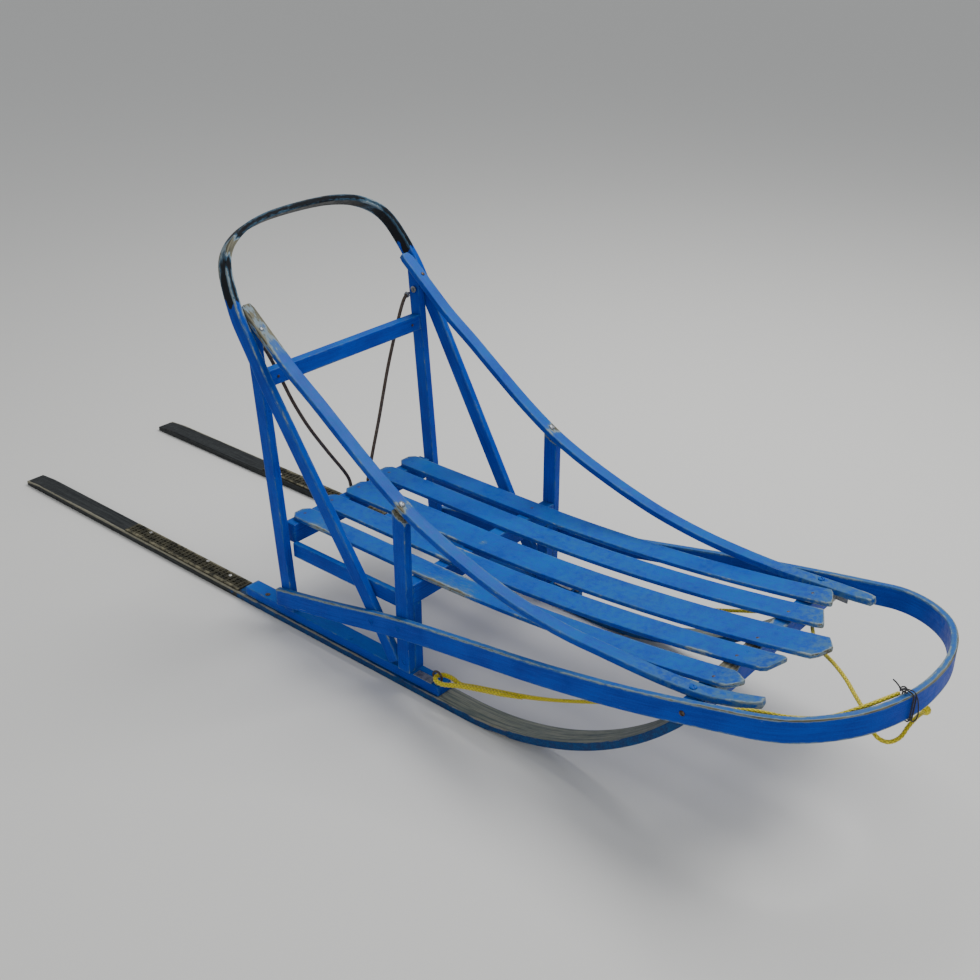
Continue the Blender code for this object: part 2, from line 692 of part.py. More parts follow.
def make_bow(finish):
    """One bent strip on edge, from one rear stanchion round the front to the other."""
    line = bow_line()
    ways = tangents([Vector((p.x, p.y, 0.0)) for p in line])
    rings = []
    for point, way in zip(line, ways):
        out = Vector((way.y, -way.x, 0.0)).normalized() * 0.5 * BOW_THICK
        grown = min(1.0, (point.x - BOW_ROUTE[0][0]) / 0.30)
        height = BOW_END_HEIGHT + (BOW_HEIGHT - BOW_END_HEIGHT) * grown
        down = Vector((0.0, 0.0, -height))
        rings.append([point + out, point - out, point - out + down, point + out + down])
    return strip("brush_bow", rings, finish)


def make_slat(name, low, high, rear, front, near_corner, far_corner, finish):
    """A deck slat that follows the rising deck, with its corners clipped or its end cut askew."""
    def cut_at(x, corner):
        length, depth = corner
        behind = SLAT_CLIP - min(SLAT_CLIP, x - rear)
        return max(behind, depth * (1 - min(1, (front - x) / length)))

    stations = {rear, rear + SLAT_CLIP, -0.180, 0.0, front}
    stations |= {0.08 * step for step in range(1, 9)}
    stations |= {front - near_corner[0], front - far_corner[0]}
    rings = []
    for x in sorted(stations):
        near, far = low + cut_at(x, near_corner), high - cut_at(x, far_corner)
        top = deck_top(x)
        rings.append([(x, near, top - SLAT_THICK), (x, far, top - SLAT_THICK),
                      (x, far, top), (x, near, top)])
    return strip(name, rings, finish)


def make_brace_rod(side, finish):
    """A bent steel rod from a rear stanchion's top down to the back of the rear crosspiece."""
    route = [(x, side * y, z) for x, y, z in (*ROD_TOP, *ROD_FOOT[side])]
    points = spaced(smooth_through(route, 6), 24)
    return tube(f"brace_rod_{side_name(side)}", points, ROD_RADIUS, finish)


# ---- Hardware ----
def make_cap_plate(side, finish):
    return side_block("cap_plate", side, (0.040, 0.090), (0.2240, 0.2432),
                      (FOOT_Z, FOOT_Z + 0.002), finish)


def make_nose_bracket(side, finish):
    """An angle of sheet steel in the corner between the front crosspiece and the bow."""
    x0 = FRONT_CROSS_X + 0.5 * CROSS_DEPTH + GAP
    seat, _ = bow_face(x0 + 0.015, LEFT)
    y1 = seat.y - BOW_THICK - BRACKET_CLEAR
    thick = BRACKET_THICK
    arm = BRACKET_ARM
    turn_in = 0.6 * thick
    outline = ((x0, y1 - arm), (x0 + thick, y1 - arm), (x0 + thick, y1 - thick),
               (x0 + arm, y1 - thick - turn_in), (x0 + arm, y1 - turn_in), (x0, y1))
    rings = [[(x, side * y, z) for x, y in outline] for z in (BRACKET_LOW, BRACKET_HIGH)]
    return strip(f"nose_bracket_{side_name(side)}", rings, finish)


def make_eyebolt(side, finish):
    """A rod with one end bent round into an eye, standing on the cap plank."""
    y = side * EYE_Y
    stem = 0.3 * EYE_RADIUS
    points = [Vector((EYE_X, y, FOOT_Z)), Vector((EYE_X, y, FOOT_Z + stem))]
    steps = 20
    for step in range(steps + 1):
        turn = -0.5 * math.pi + EYE_SWEEP * step / steps
        points.append(Vector((EYE_X + EYE_RADIUS * math.cos(turn), y,
                              EYE_Z + EYE_RADIUS * math.sin(turn))))
    return tube(f"eyebolt_{side_name(side)}", points, EYE_ROD, finish)


def make_ropes(finish):
    for name, route in (("tow_rope_right", RIGHT_ROPE), ("tow_rope_left", LEFT_ROPE)):
        line = smooth_through(route, 6)
        count = round(length_of(line) / ROPE_STEP) + 1
        tube(name, spaced(line, count), ROPE_RADIUS, finish)
    profile = [(0, -KNOT_RADIUS)]
    steps = 6
    for step in range(1, steps):
        turn = math.pi * step / steps
        profile.append((KNOT_RADIUS * math.sin(turn), -KNOT_RADIUS * math.cos(turn)))
    profile.append((0, KNOT_RADIUS))
    turned("rope_knot", profile, KNOT_CENTRE, (0, 1, 0), finish)


def make_bow_tie(finish):
    """A black cord wound almost twice round the bow, with its end standing up."""
    top, way = bow_at(-TIE_STATION)
    way = Vector((way.x, way.y, 0.0)).normalized()
    out = Vector((-way.y, way.x, 0.0)) * -1
    middle = top - Vector((0.0, 0.0, 0.5 * BOW_HEIGHT))
    wide = 0.5 * BOW_THICK + TIE_RADIUS + TIE_CLEAR
    tall = 0.5 * BOW_HEIGHT + TIE_RADIUS + TIE_CLEAR
    steps = 44
    points = []
    for step in range(steps + 1):
        turn = 2 * math.pi * TIE_TURNS * step / steps + 0.5 * math.pi
        sine, cosine = math.sin(turn), math.cos(turn)
        reach = (abs(cosine) ** 6 + abs(sine) ** 6) ** (-1 / 6)
        along = way * (-0.006 + 0.0115 * step / steps)
        points.append(middle + along + out * wide * reach * cosine
                      + Vector((0.0, 0.0, tall * reach * sine)))
    tube("bow_tie", points, TIE_RADIUS, finish)


def fasten(steel, rust, pieces):
    """The bolts that hold the frame together, each through its own drilled holes."""
    for side in (RIGHT, LEFT):
        tag = side_name(side)
        inward = (0.0, -side, 0.0)
        post = pieces[f"rear_stanchion_{tag}"]
        front_post = pieces[f"front_stanchion_{tag}"]
        front_bar = pieces["crosspiece_front"]
        rail = pieces[f"side_rail_{tag}"]
        bow = pieces["brush_bow"]
        hoop = pieces["handlebar"]
        held = {
            "rail_rear_bolt": [rail], "rail_post_bolt": [rail, front_post],
            "rail_front_bolt": [rail, front_bar], "bow_post_bolt": [bow, front_post],
            "bow_leg_bolt": [bow, hoop], "bow_front_bolt": [bow, front_bar],
        }
        seat = (HANDLEBAR_BOLT_X, side * (HANDLEBAR_AT_BOLT + 0.5 * HOOP_THICK), HANDLEBAR_BOLT_Z)
        bolt(f"handlebar_bolt_{tag}", seat, inward, abs(seat[1]) - POST_IN, [hoop, post], steel,
             HANDLEBAR_BOLT_HEAD, nut=True)
        for name, x, length, head in RAIL_BOLTS:
            top, direction = rail_at(x)
            normal = rail_normal(direction)
            seat = Vector((top.x, side * (top.y + RAIL_BOLT_OUT), top.z)) + normal * GAP
            bolt(f"{name}_{tag}", seat, -normal, length, held[name], steel, head)
        for name, x, length in BOW_BOLTS:
            seat, into = bow_face(x, side)
            bolt(f"{name}_{tag}", seat, into, length, held[name], rust, BOW_BOLT_HEAD)
        x, z = FOOT_BOLT_AT
        bolt(f"post_foot_bolt_{tag}", (x, side * POST_OUT, z), inward,
             POST_OUT - POST_IN + 0.015, [front_post, pieces[f"front_post_block_{tag}"]],
             rust, FOOT_BOLT_HEAD)
        for name, x in CAP_BOLTS:
            bolt(f"{name}_{tag}", (x, side * CAP_BOLT_OUT, CAP_TOP), (0.0, 0.0, -1.0),
                 CAP_BOLT_LENGTH, [pieces[f"runner_cap_{tag}"], pieces[f"runner_{tag}"]],
                 steel, FOOT_BOLT_HEAD)


def main():
    blue = blue_paint()
    wood = worn_runner_wood()
    rubber = tread_rubber()
    steel = plain_steel()
    rust = rusty_steel()
    pieces = {}

    def keep(*made):
        for piece in made:
            pieces[piece.name] = piece

    for side in (RIGHT, LEFT):
        keep(make_runner(side, wood), make_cap(side, blue), make_tread(side, rubber))
        keep(make_front_post(side, blue), make_rear_post(side, blue))
        keep(make_post_block(side, blue), make_side_bar(side, blue))
        keep(make_rail(side, blue))
        make_brace_rod(side, rust)
        make_cap_plate(side, steel)
        make_nose_bracket(side, steel)
        make_eyebolt(side, steel)
    keep(*make_crosspieces(blue), make_crossbar(blue), make_bow(blue))
    handlebar = make_handlebar(blue)
    split_foot_cut(handlebar)
    keep(handlebar)
    for slat in SLATS:
        make_slat(*slat, blue)
    make_ropes(yellow_rope())
    make_bow_tie(black_cord())
    fasten(steel, rust, pieces)


for old in list(bpy.data.objects):
    bpy.data.objects.remove(old, do_unlink=True)
sled = bpy.data.objects.new("sled", None)
bpy.context.scene.collection.objects.link(sled)
sled.location.x = -MIDDLE_X
main()
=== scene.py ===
import json
import math

import bmesh
import bpy
import numpy as np
from mathutils import Vector
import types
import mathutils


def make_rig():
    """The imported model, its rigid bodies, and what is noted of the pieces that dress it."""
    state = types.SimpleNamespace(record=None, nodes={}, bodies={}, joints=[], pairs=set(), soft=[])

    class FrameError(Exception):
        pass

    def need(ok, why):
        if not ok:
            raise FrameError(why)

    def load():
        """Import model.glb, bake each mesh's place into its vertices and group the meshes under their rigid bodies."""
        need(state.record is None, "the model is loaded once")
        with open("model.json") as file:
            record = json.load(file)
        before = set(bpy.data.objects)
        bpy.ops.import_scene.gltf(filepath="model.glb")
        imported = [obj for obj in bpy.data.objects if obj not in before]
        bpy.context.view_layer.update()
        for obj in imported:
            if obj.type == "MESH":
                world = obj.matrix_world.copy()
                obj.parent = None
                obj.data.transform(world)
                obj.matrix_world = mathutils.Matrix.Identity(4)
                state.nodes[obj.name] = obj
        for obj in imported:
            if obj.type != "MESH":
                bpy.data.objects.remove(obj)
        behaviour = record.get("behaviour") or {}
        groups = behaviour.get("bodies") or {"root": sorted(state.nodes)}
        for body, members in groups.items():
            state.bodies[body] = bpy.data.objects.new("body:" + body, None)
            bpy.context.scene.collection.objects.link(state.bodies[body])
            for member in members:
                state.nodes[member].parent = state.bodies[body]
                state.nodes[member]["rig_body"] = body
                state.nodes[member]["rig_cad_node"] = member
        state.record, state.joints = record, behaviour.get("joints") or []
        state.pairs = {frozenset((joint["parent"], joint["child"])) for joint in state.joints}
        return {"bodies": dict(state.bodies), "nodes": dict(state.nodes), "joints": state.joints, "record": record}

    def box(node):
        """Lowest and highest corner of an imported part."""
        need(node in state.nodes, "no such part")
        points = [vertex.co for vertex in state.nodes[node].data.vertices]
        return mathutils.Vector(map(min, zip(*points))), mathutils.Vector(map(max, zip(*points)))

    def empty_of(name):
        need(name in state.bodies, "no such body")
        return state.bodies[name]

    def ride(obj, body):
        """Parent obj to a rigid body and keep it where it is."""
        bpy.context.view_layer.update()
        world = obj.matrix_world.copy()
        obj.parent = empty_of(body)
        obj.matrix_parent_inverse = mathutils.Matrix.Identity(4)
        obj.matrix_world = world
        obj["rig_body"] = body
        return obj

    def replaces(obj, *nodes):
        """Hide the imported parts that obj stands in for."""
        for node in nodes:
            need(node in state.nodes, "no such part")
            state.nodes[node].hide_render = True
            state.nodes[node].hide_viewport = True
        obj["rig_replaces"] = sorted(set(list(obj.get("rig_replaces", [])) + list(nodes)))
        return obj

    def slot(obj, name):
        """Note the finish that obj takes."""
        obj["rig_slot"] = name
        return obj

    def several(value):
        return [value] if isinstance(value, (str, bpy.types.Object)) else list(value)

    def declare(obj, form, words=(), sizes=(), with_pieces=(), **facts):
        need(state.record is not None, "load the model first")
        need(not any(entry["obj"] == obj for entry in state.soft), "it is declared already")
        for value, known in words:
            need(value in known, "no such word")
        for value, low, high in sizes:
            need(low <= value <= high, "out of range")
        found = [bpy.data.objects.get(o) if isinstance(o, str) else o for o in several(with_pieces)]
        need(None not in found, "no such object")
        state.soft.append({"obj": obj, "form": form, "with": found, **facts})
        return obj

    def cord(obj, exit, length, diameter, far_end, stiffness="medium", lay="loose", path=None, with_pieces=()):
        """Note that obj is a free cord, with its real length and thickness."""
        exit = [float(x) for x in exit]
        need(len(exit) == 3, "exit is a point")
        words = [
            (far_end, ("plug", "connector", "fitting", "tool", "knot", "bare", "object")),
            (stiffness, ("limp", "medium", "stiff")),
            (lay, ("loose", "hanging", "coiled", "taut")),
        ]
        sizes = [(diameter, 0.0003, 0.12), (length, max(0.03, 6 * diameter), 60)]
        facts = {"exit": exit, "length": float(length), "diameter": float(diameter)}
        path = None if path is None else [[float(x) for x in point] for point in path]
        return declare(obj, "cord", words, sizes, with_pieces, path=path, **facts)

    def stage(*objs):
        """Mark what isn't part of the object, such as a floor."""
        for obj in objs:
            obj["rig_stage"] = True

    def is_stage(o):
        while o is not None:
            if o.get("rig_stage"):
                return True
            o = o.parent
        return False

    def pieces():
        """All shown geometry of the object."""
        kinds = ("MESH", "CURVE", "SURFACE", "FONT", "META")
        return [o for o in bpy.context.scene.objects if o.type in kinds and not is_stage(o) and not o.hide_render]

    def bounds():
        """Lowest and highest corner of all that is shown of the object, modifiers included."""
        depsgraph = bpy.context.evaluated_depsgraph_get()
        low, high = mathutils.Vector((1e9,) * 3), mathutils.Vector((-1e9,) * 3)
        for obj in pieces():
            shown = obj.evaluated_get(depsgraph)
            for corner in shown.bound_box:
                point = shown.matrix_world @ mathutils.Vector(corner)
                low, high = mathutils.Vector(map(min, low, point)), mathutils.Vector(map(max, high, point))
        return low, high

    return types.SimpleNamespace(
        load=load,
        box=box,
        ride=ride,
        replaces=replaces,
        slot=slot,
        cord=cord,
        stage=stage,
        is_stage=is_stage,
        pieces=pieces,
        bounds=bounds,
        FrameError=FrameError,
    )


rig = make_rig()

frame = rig.load()
cad_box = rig.bounds()

# Stations along the sled are measured forwards from the rear face of the front stanchions.
ORIGIN = Vector((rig.box("front_stanchion_right")[0].x, 0.0, 0.0))
RIGHT = -1
LEFT = 1
SIDES = {RIGHT: "right", LEFT: "left"}

# ---- Bent strips: the routes of part.py, in stations ----
RAIL_ROUTE = (
    (-0.409, 0.2315, 0.7315), (-0.357, 0.2315, 0.6885), (-0.281, 0.2310, 0.6260),
    (-0.205, 0.2310, 0.5740), (-0.127, 0.2310, 0.5175), (-0.050, 0.2310, 0.4640),
    (0.025, 0.2310, 0.4190), (0.090, 0.2315, 0.3890), (0.160, 0.2320, 0.3630),
    (0.240, 0.2325, 0.3380), (0.319, 0.2320, 0.3190), (0.412, 0.2300, 0.3060),
    (0.496, 0.2265, 0.3015), (0.579, 0.2250, 0.2995), (0.640, 0.2245, 0.3010),
    (0.700, 0.2220, 0.3045), (0.750, 0.2140, 0.3110), (0.797, 0.2060, 0.3200),
)
RAIL_HALF = 0.0145
RAIL_THICK = 0.013
RAIL_TIP = 0.085
RAIL_TIP_SHARE = 0.25
RAIL_END_ROUND = 0.016
BOW_ROUTE = (
    (-0.360, 0.2542, 0.0930), (-0.200, 0.2542, 0.1250), (-0.030, 0.2542, 0.1630),
    (0.080, 0.2555, 0.1835), (0.230, 0.2620, 0.2110), (0.360, 0.2685, 0.2350),
    (0.480, 0.2718, 0.2590), (0.580, 0.2705, 0.2790), (0.680, 0.2650, 0.3000),
    (0.776, 0.2575, 0.3200), (0.826, 0.2515, 0.3305), (0.872, 0.2345, 0.3385),
    (0.916, 0.2040, 0.3470), (0.954, 0.1630, 0.3540), (0.981, 0.1110, 0.3590),
    (0.996, 0.0550, 0.3612),
)
BOW_TIP = (1.000, 0.0, 0.3620)
BOW_THICK = 0.0125
BOW_HEIGHT = 0.046
BOW_END_HEIGHT = 0.041
BOW_GROWS_OVER = 0.300       # from the lower end height to the full one
BOW_TOP_BAND = 0.0035        # how deep the rubbed band along the bow's top is
HOOP_X = 0.018
HOOP_RAKE = 0.600
HOOP_WIDTH = 0.032
HOOP_THICK = 0.016
HOOP_THINNING = 0.0025
HOOP_THIN_FROM = 0.700
HOOP_THIN_OVER = 0.130
HOOP_TOP = 0.8662
HOOP_ROUTE = (
    (0.2392, 0.020), (0.2392, 0.095), (0.2392, 0.170), (0.2430, 0.275), (0.2475, 0.385),
    (0.2520, 0.495), (0.2560, 0.592), (0.2561, 0.650), (0.2559, 0.702), (0.2508, 0.738),
    (0.2452, 0.765), (0.2372, 0.791), (0.2240, 0.8130), (0.2030, 0.8310), (0.1740, 0.8455),
    (0.1430, 0.8550), (0.0960, 0.8625), (0.0480, 0.8655),
)
GRIP_FROM = 0.735
RUNNER_THICK = 0.017
RUNNER_BEND_X = 0.170
TAIL_TAPER = 0.060
TAIL_THINNING = 0.005
RUNNER_RADIUS = 0.667
SLAT_THICK = 0.009
DECK_RISE = 0.053
DECK_RISE_X = 0.680
SLAT_CLIP = 0.014
SQUARE_CORNER = (0.004, 0.004)
# The cut of each slat's right and left front corner, along and across.
SLAT_CORNERS = {
    "slat_right_outer": ((0.018, 0.026), (0.028, 0.020)),
    "slat_right_inner": ((0.016, 0.048), (0.008, 0.005)),
    "slat_middle": ((0.016, 0.038), (0.020, 0.030)),
    "slat_left_inner": (SQUARE_CORNER, (0.026, 0.050)),
    "slat_left_outer": (SQUARE_CORNER, (0.022, 0.046)),
}
# Extra worn spots of the slats: station, y, z, radius and strength.
SLAT_SPOTS = {
    "slat_middle": ((0.036, -0.019, 0.252, 0.018, 0.72), (-0.05, -0.035, 0.252, 0.05, 0.3)),
    "slat_right_inner": ((0.020, -0.085, 0.252, 0.06, 0.34), (0.62, -0.10, 0.29, 0.05, 0.3)),
    "slat_right_outer": ((0.09, -0.182, 0.253, 0.11, 0.46), (-0.28, -0.18, 0.252, 0.06, 0.42)),
}
ROD_RADIUS = 0.004
ROD_TOP = (
    (-0.3925, 0.2238, 0.6430), (-0.3925, 0.2080, 0.6350), (-0.3925, 0.1920, 0.6060),
    (-0.3910, 0.1680, 0.5500), (-0.3885, 0.1430, 0.4900),
)
ROD_FOOT = {
    RIGHT: ((-0.3855, 0.1080, 0.4220), (-0.3820, 0.0630, 0.3500), (-0.3770, 0.0130, 0.2720),
            (-0.3730, 0.0050, 0.2340)),
    LEFT: ((-0.3860, 0.1230, 0.4350), (-0.3835, 0.1000, 0.3680), (-0.3785, 0.0720, 0.3010),
           (-0.3735, 0.0455, 0.2330)),
}

# ---- Cords: the routes of part.py, in stations ----
ROPE_RADIUS = 0.004
# The eye spliced round the eyebolt at the rear of both ropes, as distances to the side.
SPLICE = (
    (0.315, 0.2285, 0.1030), (0.255, 0.2330, 0.0900), (0.195, 0.2375, 0.0760),
    (0.158, 0.2420, 0.0670), (0.128, 0.2495, 0.0600), (0.106, 0.2465, 0.0580),
    (0.0975, 0.2345, 0.0580), (0.106, 0.2225, 0.0580), (0.128, 0.2215, 0.0600),
    (0.160, 0.2310, 0.0650), (0.195, 0.2280, 0.0735), (0.255, 0.2230, 0.0875),
)
RIGHT_ROPE = (
    *((x, -y, z) for x, y, z in SPLICE),
    (0.315, -0.2180, 0.1020), (0.390, -0.2130, 0.1270), (0.480, -0.2080, 0.1640),
    (0.560, -0.2010, 0.1980), (0.625, -0.1900, 0.2270), (0.672, -0.1860, 0.2400),
    (0.702, -0.1870, 0.2440), (0.722, -0.2010, 0.2605), (0.742, -0.2230, 0.2830),
    (0.766, -0.2380, 0.3050), (0.806, -0.2360, 0.3205), (0.855, -0.2195, 0.3235),
    (0.902, -0.1895, 0.3300), (0.937, -0.1540, 0.3445), (0.960, -0.1180, 0.3525),
    (0.9725, -0.0900, 0.3545),
)
LEFT_ROPE = (
    *SPLICE,
    (0.315, 0.2170, 0.1020), (0.390, 0.2080, 0.1270), (0.480, 0.1980, 0.1640),
    (0.560, 0.1900, 0.1980), (0.625, 0.1870, 0.2250), (0.672, 0.1830, 0.2380),
    (0.692, 0.1780, 0.2420), (0.713, 0.1420, 0.2460), (0.745, 0.0880, 0.2620),
    (0.785, 0.0350, 0.2830), (0.824, -0.0020, 0.2950), (0.860, -0.0340, 0.2990),
    (0.892, -0.0660, 0.3000), (0.918, -0.0920, 0.3010), (0.938, -0.1150, 0.3020),
    (0.953, -0.1320, 0.2990), (0.969, -0.1370, 0.2910), (0.984, -0.1300, 0.2870),
    (0.9935, -0.1100, 0.2890), (0.9950, -0.0840, 0.2970), (0.9960, -0.0560, 0.2990),
    (0.9964, -0.0288, 0.2935),
)
KNOT_CENTRE = (0.9965, -0.0190, 0.2915)
KNOT_RADIUS = 0.0082
TIE_STATION = 0.087
TIE_RADIUS = 0.0013
TIE_TURNS = 1.86
TIE_CLEAR = 0.0022           # how loosely the tie goes round the bow
TIE_GAP = 0.0012
# The tie's loose ends: along the bow, outwards and up from its top edge.
TIE_LOOP = (
    (-0.006, -0.0085, 0.0070), (-0.001, -0.0020, 0.0075), (0.003, 0.0060, 0.0060),
    (0.007, 0.0115, -0.0060), (0.012, 0.0125, -0.0250), (0.013, 0.0130, -0.0400),
    (0.009, 0.0125, -0.0490), (0.003, 0.0110, -0.0480), (0.000, 0.0100, -0.0400),
)
TIE_KNOT = (
    (-0.012, -0.0090, 0.0050), (-0.008, -0.0120, 0.0085), (-0.003, -0.0080, 0.0100),
    (-0.005, -0.0030, 0.0080), (-0.011, -0.0040, 0.0065), (-0.012, -0.0095, 0.0095),
    (-0.006, -0.0110, 0.0050), (-0.001, -0.0070, 0.0070), (-0.007, -0.0030, 0.0105),
    (-0.012, -0.0080, 0.0085), (-0.013, -0.0120, 0.0130), (-0.015, -0.0170, 0.0180),
    (-0.018, -0.0215, 0.0225),
)
STRANDS = 4                  # strands of the tow ropes' braid that wind each way
STRAND_PITCH = 0.034         # length of one full turn of a strand
STRAND_WIDE = 0.00165
STRAND_THICK = 0.00100
BRAID_MIDDLE = 0.00250       # radius of the strands' own middles
BRAID_WAVE = 0.00050         # how far they rise and dip to pass over and under
ROPE_GAP = 0.0024
CORE_RADIUS = 0.0021
SPLICE_LENGTH = 0.455        # from the tail's end round the eyebolt and back beside that end
SPLICE_SWELL = 0.32          # how much thicker the braid is where it is spliced
SPLICE_FADE = 0.07

# ---- Hardware ----
BOLT_SHANK = 0.0032
NUT_RADIUS = 0.0070
EYE_X = 0.1000
EYE_Y = 0.2345
EYE_Z = 0.0580
EYE_RADIUS = 0.0115
EYE_ROD = 0.0024
EYE_SWEEP = math.radians(318)
RUSTY = ("bow_", "post_foot", "cap_", "rail_rear_bolt_left")
SLOT_GAP = 0.0128            # from one slot of a tread to the next
# Screws at the slats' front ends: station, and share of the slat's width.
SCREW_PLACES = {
    "slat_middle": ((0.690, 0.18), (0.706, 0.82)),
    "slat_right_inner": ((0.690, 0.30), (0.700, 0.68)),
    "slat_right_outer": ((0.692, 0.30), (0.700, 0.66)),
    "slat_left_inner": ((0.690, 0.34), (0.698, 0.66)),
    "slat_left_outer": ((0.694, 0.45),),
}
PAINTED = ("rail_front", "bow_post", "bow_leg", "post_foot", "cap_middle")

# ---- Look of the strips ----
ARRIS = 0.0016               # radius of the rounded long edges
EDGE_FADE = 0.0060           # how far from an edge its wear reaches
KINK_GAP = 0.0011            # rings nearer together than this mark a kink to keep
RING_STEP = 0.011
COLUMN_STEP = 0.009

FINISHES = {}                # the materials by name, made by make_finishes


# ---- Camera, lights and floor ----
def put(name, data):
    """Adds an object to the scene."""
    made = bpy.data.objects.new(name, data)
    bpy.context.scene.collection.objects.link(made)
    return made


def point_at(thing, place, way):
    """Puts a camera or a lamp at a place, looking along a direction."""
    thing.location = place
    thing.rotation_mode = "QUATERNION"
    thing.rotation_quaternion = way.to_track_quat("-Z", "Y")


def make_camera():
    data = bpy.data.cameras.new("camera")
    data.lens = 46.40
    data.sensor_width = 36.0
    azimuth, elevation = math.radians(40.43), math.radians(27.40)
    back = Vector((math.sin(azimuth) * math.cos(elevation),
                   -math.cos(azimuth) * math.cos(elevation), math.sin(elevation)))
    camera = put("camera", data)
    point_at(camera, ORIGIN + Vector((1.5384, -1.7593, 1.5679)), -back)
    bpy.context.scene.camera = camera


def make_light(name, place, aim, size, energy):
    data = bpy.data.lights.new(name, "AREA")
    data.shape = "DISK"
    data.size = size
    data.energy = energy
    point_at(put(name, data), place, Vector(aim) - Vector(place))


def make_studio():
    world = bpy.data.worlds.new("studio")
    world.use_nodes = True
    shade = world.node_tree.nodes["Background"]
    shade.inputs["Color"].default_value = (0.93, 0.96, 1.0, 1.0)
    shade.inputs["Strength"].default_value = 0.50
    bpy.context.scene.world = world
    make_light("key", (0.4, 1.4, 3.4), (0.2, 0.0, 0.2), 2.2, 100)
    make_light("fill", (3.4, -3.2, 2.4), (0.3, 0.0, 0.3), 2.4, 34)
    half, drop = 30.0, 0.0004
    mesh = bpy.data.meshes.new("floor")
    mesh.from_pydata([(x * half, y * half, -drop) for x, y in ((-1, -1), (1, -1), (1, 1), (-1, 1))],
                     [], [(0, 1, 2, 3)])
    paint, tree = new_material("floor")
    shader = tree.nodes["Principled BSDF"]
    shader.inputs["Base Color"].default_value = (0.72, 0.71, 0.68, 1.0)
    shader.inputs["Roughness"].default_value = 0.85
    mesh.materials.append(paint)
    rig.stage(put("floor", mesh))


# ---- Shader helpers ----
class Signal:
    """A shader socket that adds, subtracts and multiplies as a number does."""

    def __init__(self, tree, socket):
        self.tree, self.socket = tree, socket

    def maths(self, kind, a, b, clamp=False):
        return add(self.tree, "ShaderNodeMath", {0: a, 1: b}, operation=kind, use_clamp=clamp)

    def __add__(self, other):
        return self.maths("ADD", self, other)

    def __sub__(self, other):
        return self.maths("SUBTRACT", self, other)

    def __mul__(self, other):
        return self.maths("MULTIPLY", self, other)

    def step(self, low, high, out_low=0.0, out_high=1.0):
        """Runs smoothly from out_low to out_high as this value runs from low to high."""
        return add(self.tree, "ShaderNodeMapRange",
                   {"Value": self, "From Min": low, "From Max": high, "To Min": out_low,
                    "To Max": out_high}, interpolation_type="SMOOTHSTEP")

    def mix(self, *ends):
        """A colour between two others, each an (r, g, b) or a signal."""
        a, b = ((*end, 1.0) if isinstance(end, tuple) else end for end in ends)
        return add(self.tree, "ShaderNodeMix", {0: self, 6: a, 7: b}, 2, data_type="RGBA")

    def noise(self, scale, detail=3.0, roughness=0.55):
        """Noise at this place. Three scales stretch it."""
        place = self
        if isinstance(scale, tuple):
            place = add(self.tree, "ShaderNodeVectorMath", {0: self, 1: scale},
                        operation="MULTIPLY")
            scale = 1.0
        return add(self.tree, "ShaderNodeTexNoise",
                   {"Vector": place, "Scale": scale, "Detail": detail, "Roughness": roughness},
                   "Fac")


def add(tree, kind, inputs=None, output=0, **settings):
    """Adds a node and returns one of its outputs. Each input is a value or a signal."""
    made = tree.nodes.new(kind)
    for key, value in settings.items():
        setattr(made, key, value)
    for key, value in (inputs or {}).items():
        if isinstance(value, Signal):
            tree.links.new(value.socket, made.inputs[key])
        else:
            made.inputs[key].default_value = value
    return Signal(tree, made.outputs[output])


def new_material(name):
    made = bpy.data.materials.new(name)
    made.use_nodes = True
    return made, made.node_tree


def attributes_of(tree, *names):
    """What strip() and the other shape helpers stored at each point."""
    return [add(tree, "ShaderNodeAttribute", None, "Vector" if name == "grain" else "Fac",
                attribute_name=name) for name in names]


def finish_shader(tree, colour, roughness, height, strength, depth, specular=0.5):
    shader = tree.nodes["Principled BSDF"]
    normal = add(tree, "ShaderNodeBump", {"Height": height, "Strength": strength,
                                          "Distance": depth})
    for key, value in (("Base Color", colour), ("Roughness", roughness), ("Normal", normal)):
        tree.links.new(value.socket, shader.inputs[key])
    shader.inputs["Specular IOR Level"].default_value = specular
    return shader


# ---- Materials ----
def wood_grain(grain, light, dark):
    """Weathered wood colour, its streaks running along the strip."""
    streak = grain.noise((7.0, 260.0, 260.0), 5.0, 0.65)
    both = streak * 0.7 + grain.noise((40.0, 1100.0, 1100.0)) * 0.3
    return both.step(0.36, 0.64).mix(dark, light), both


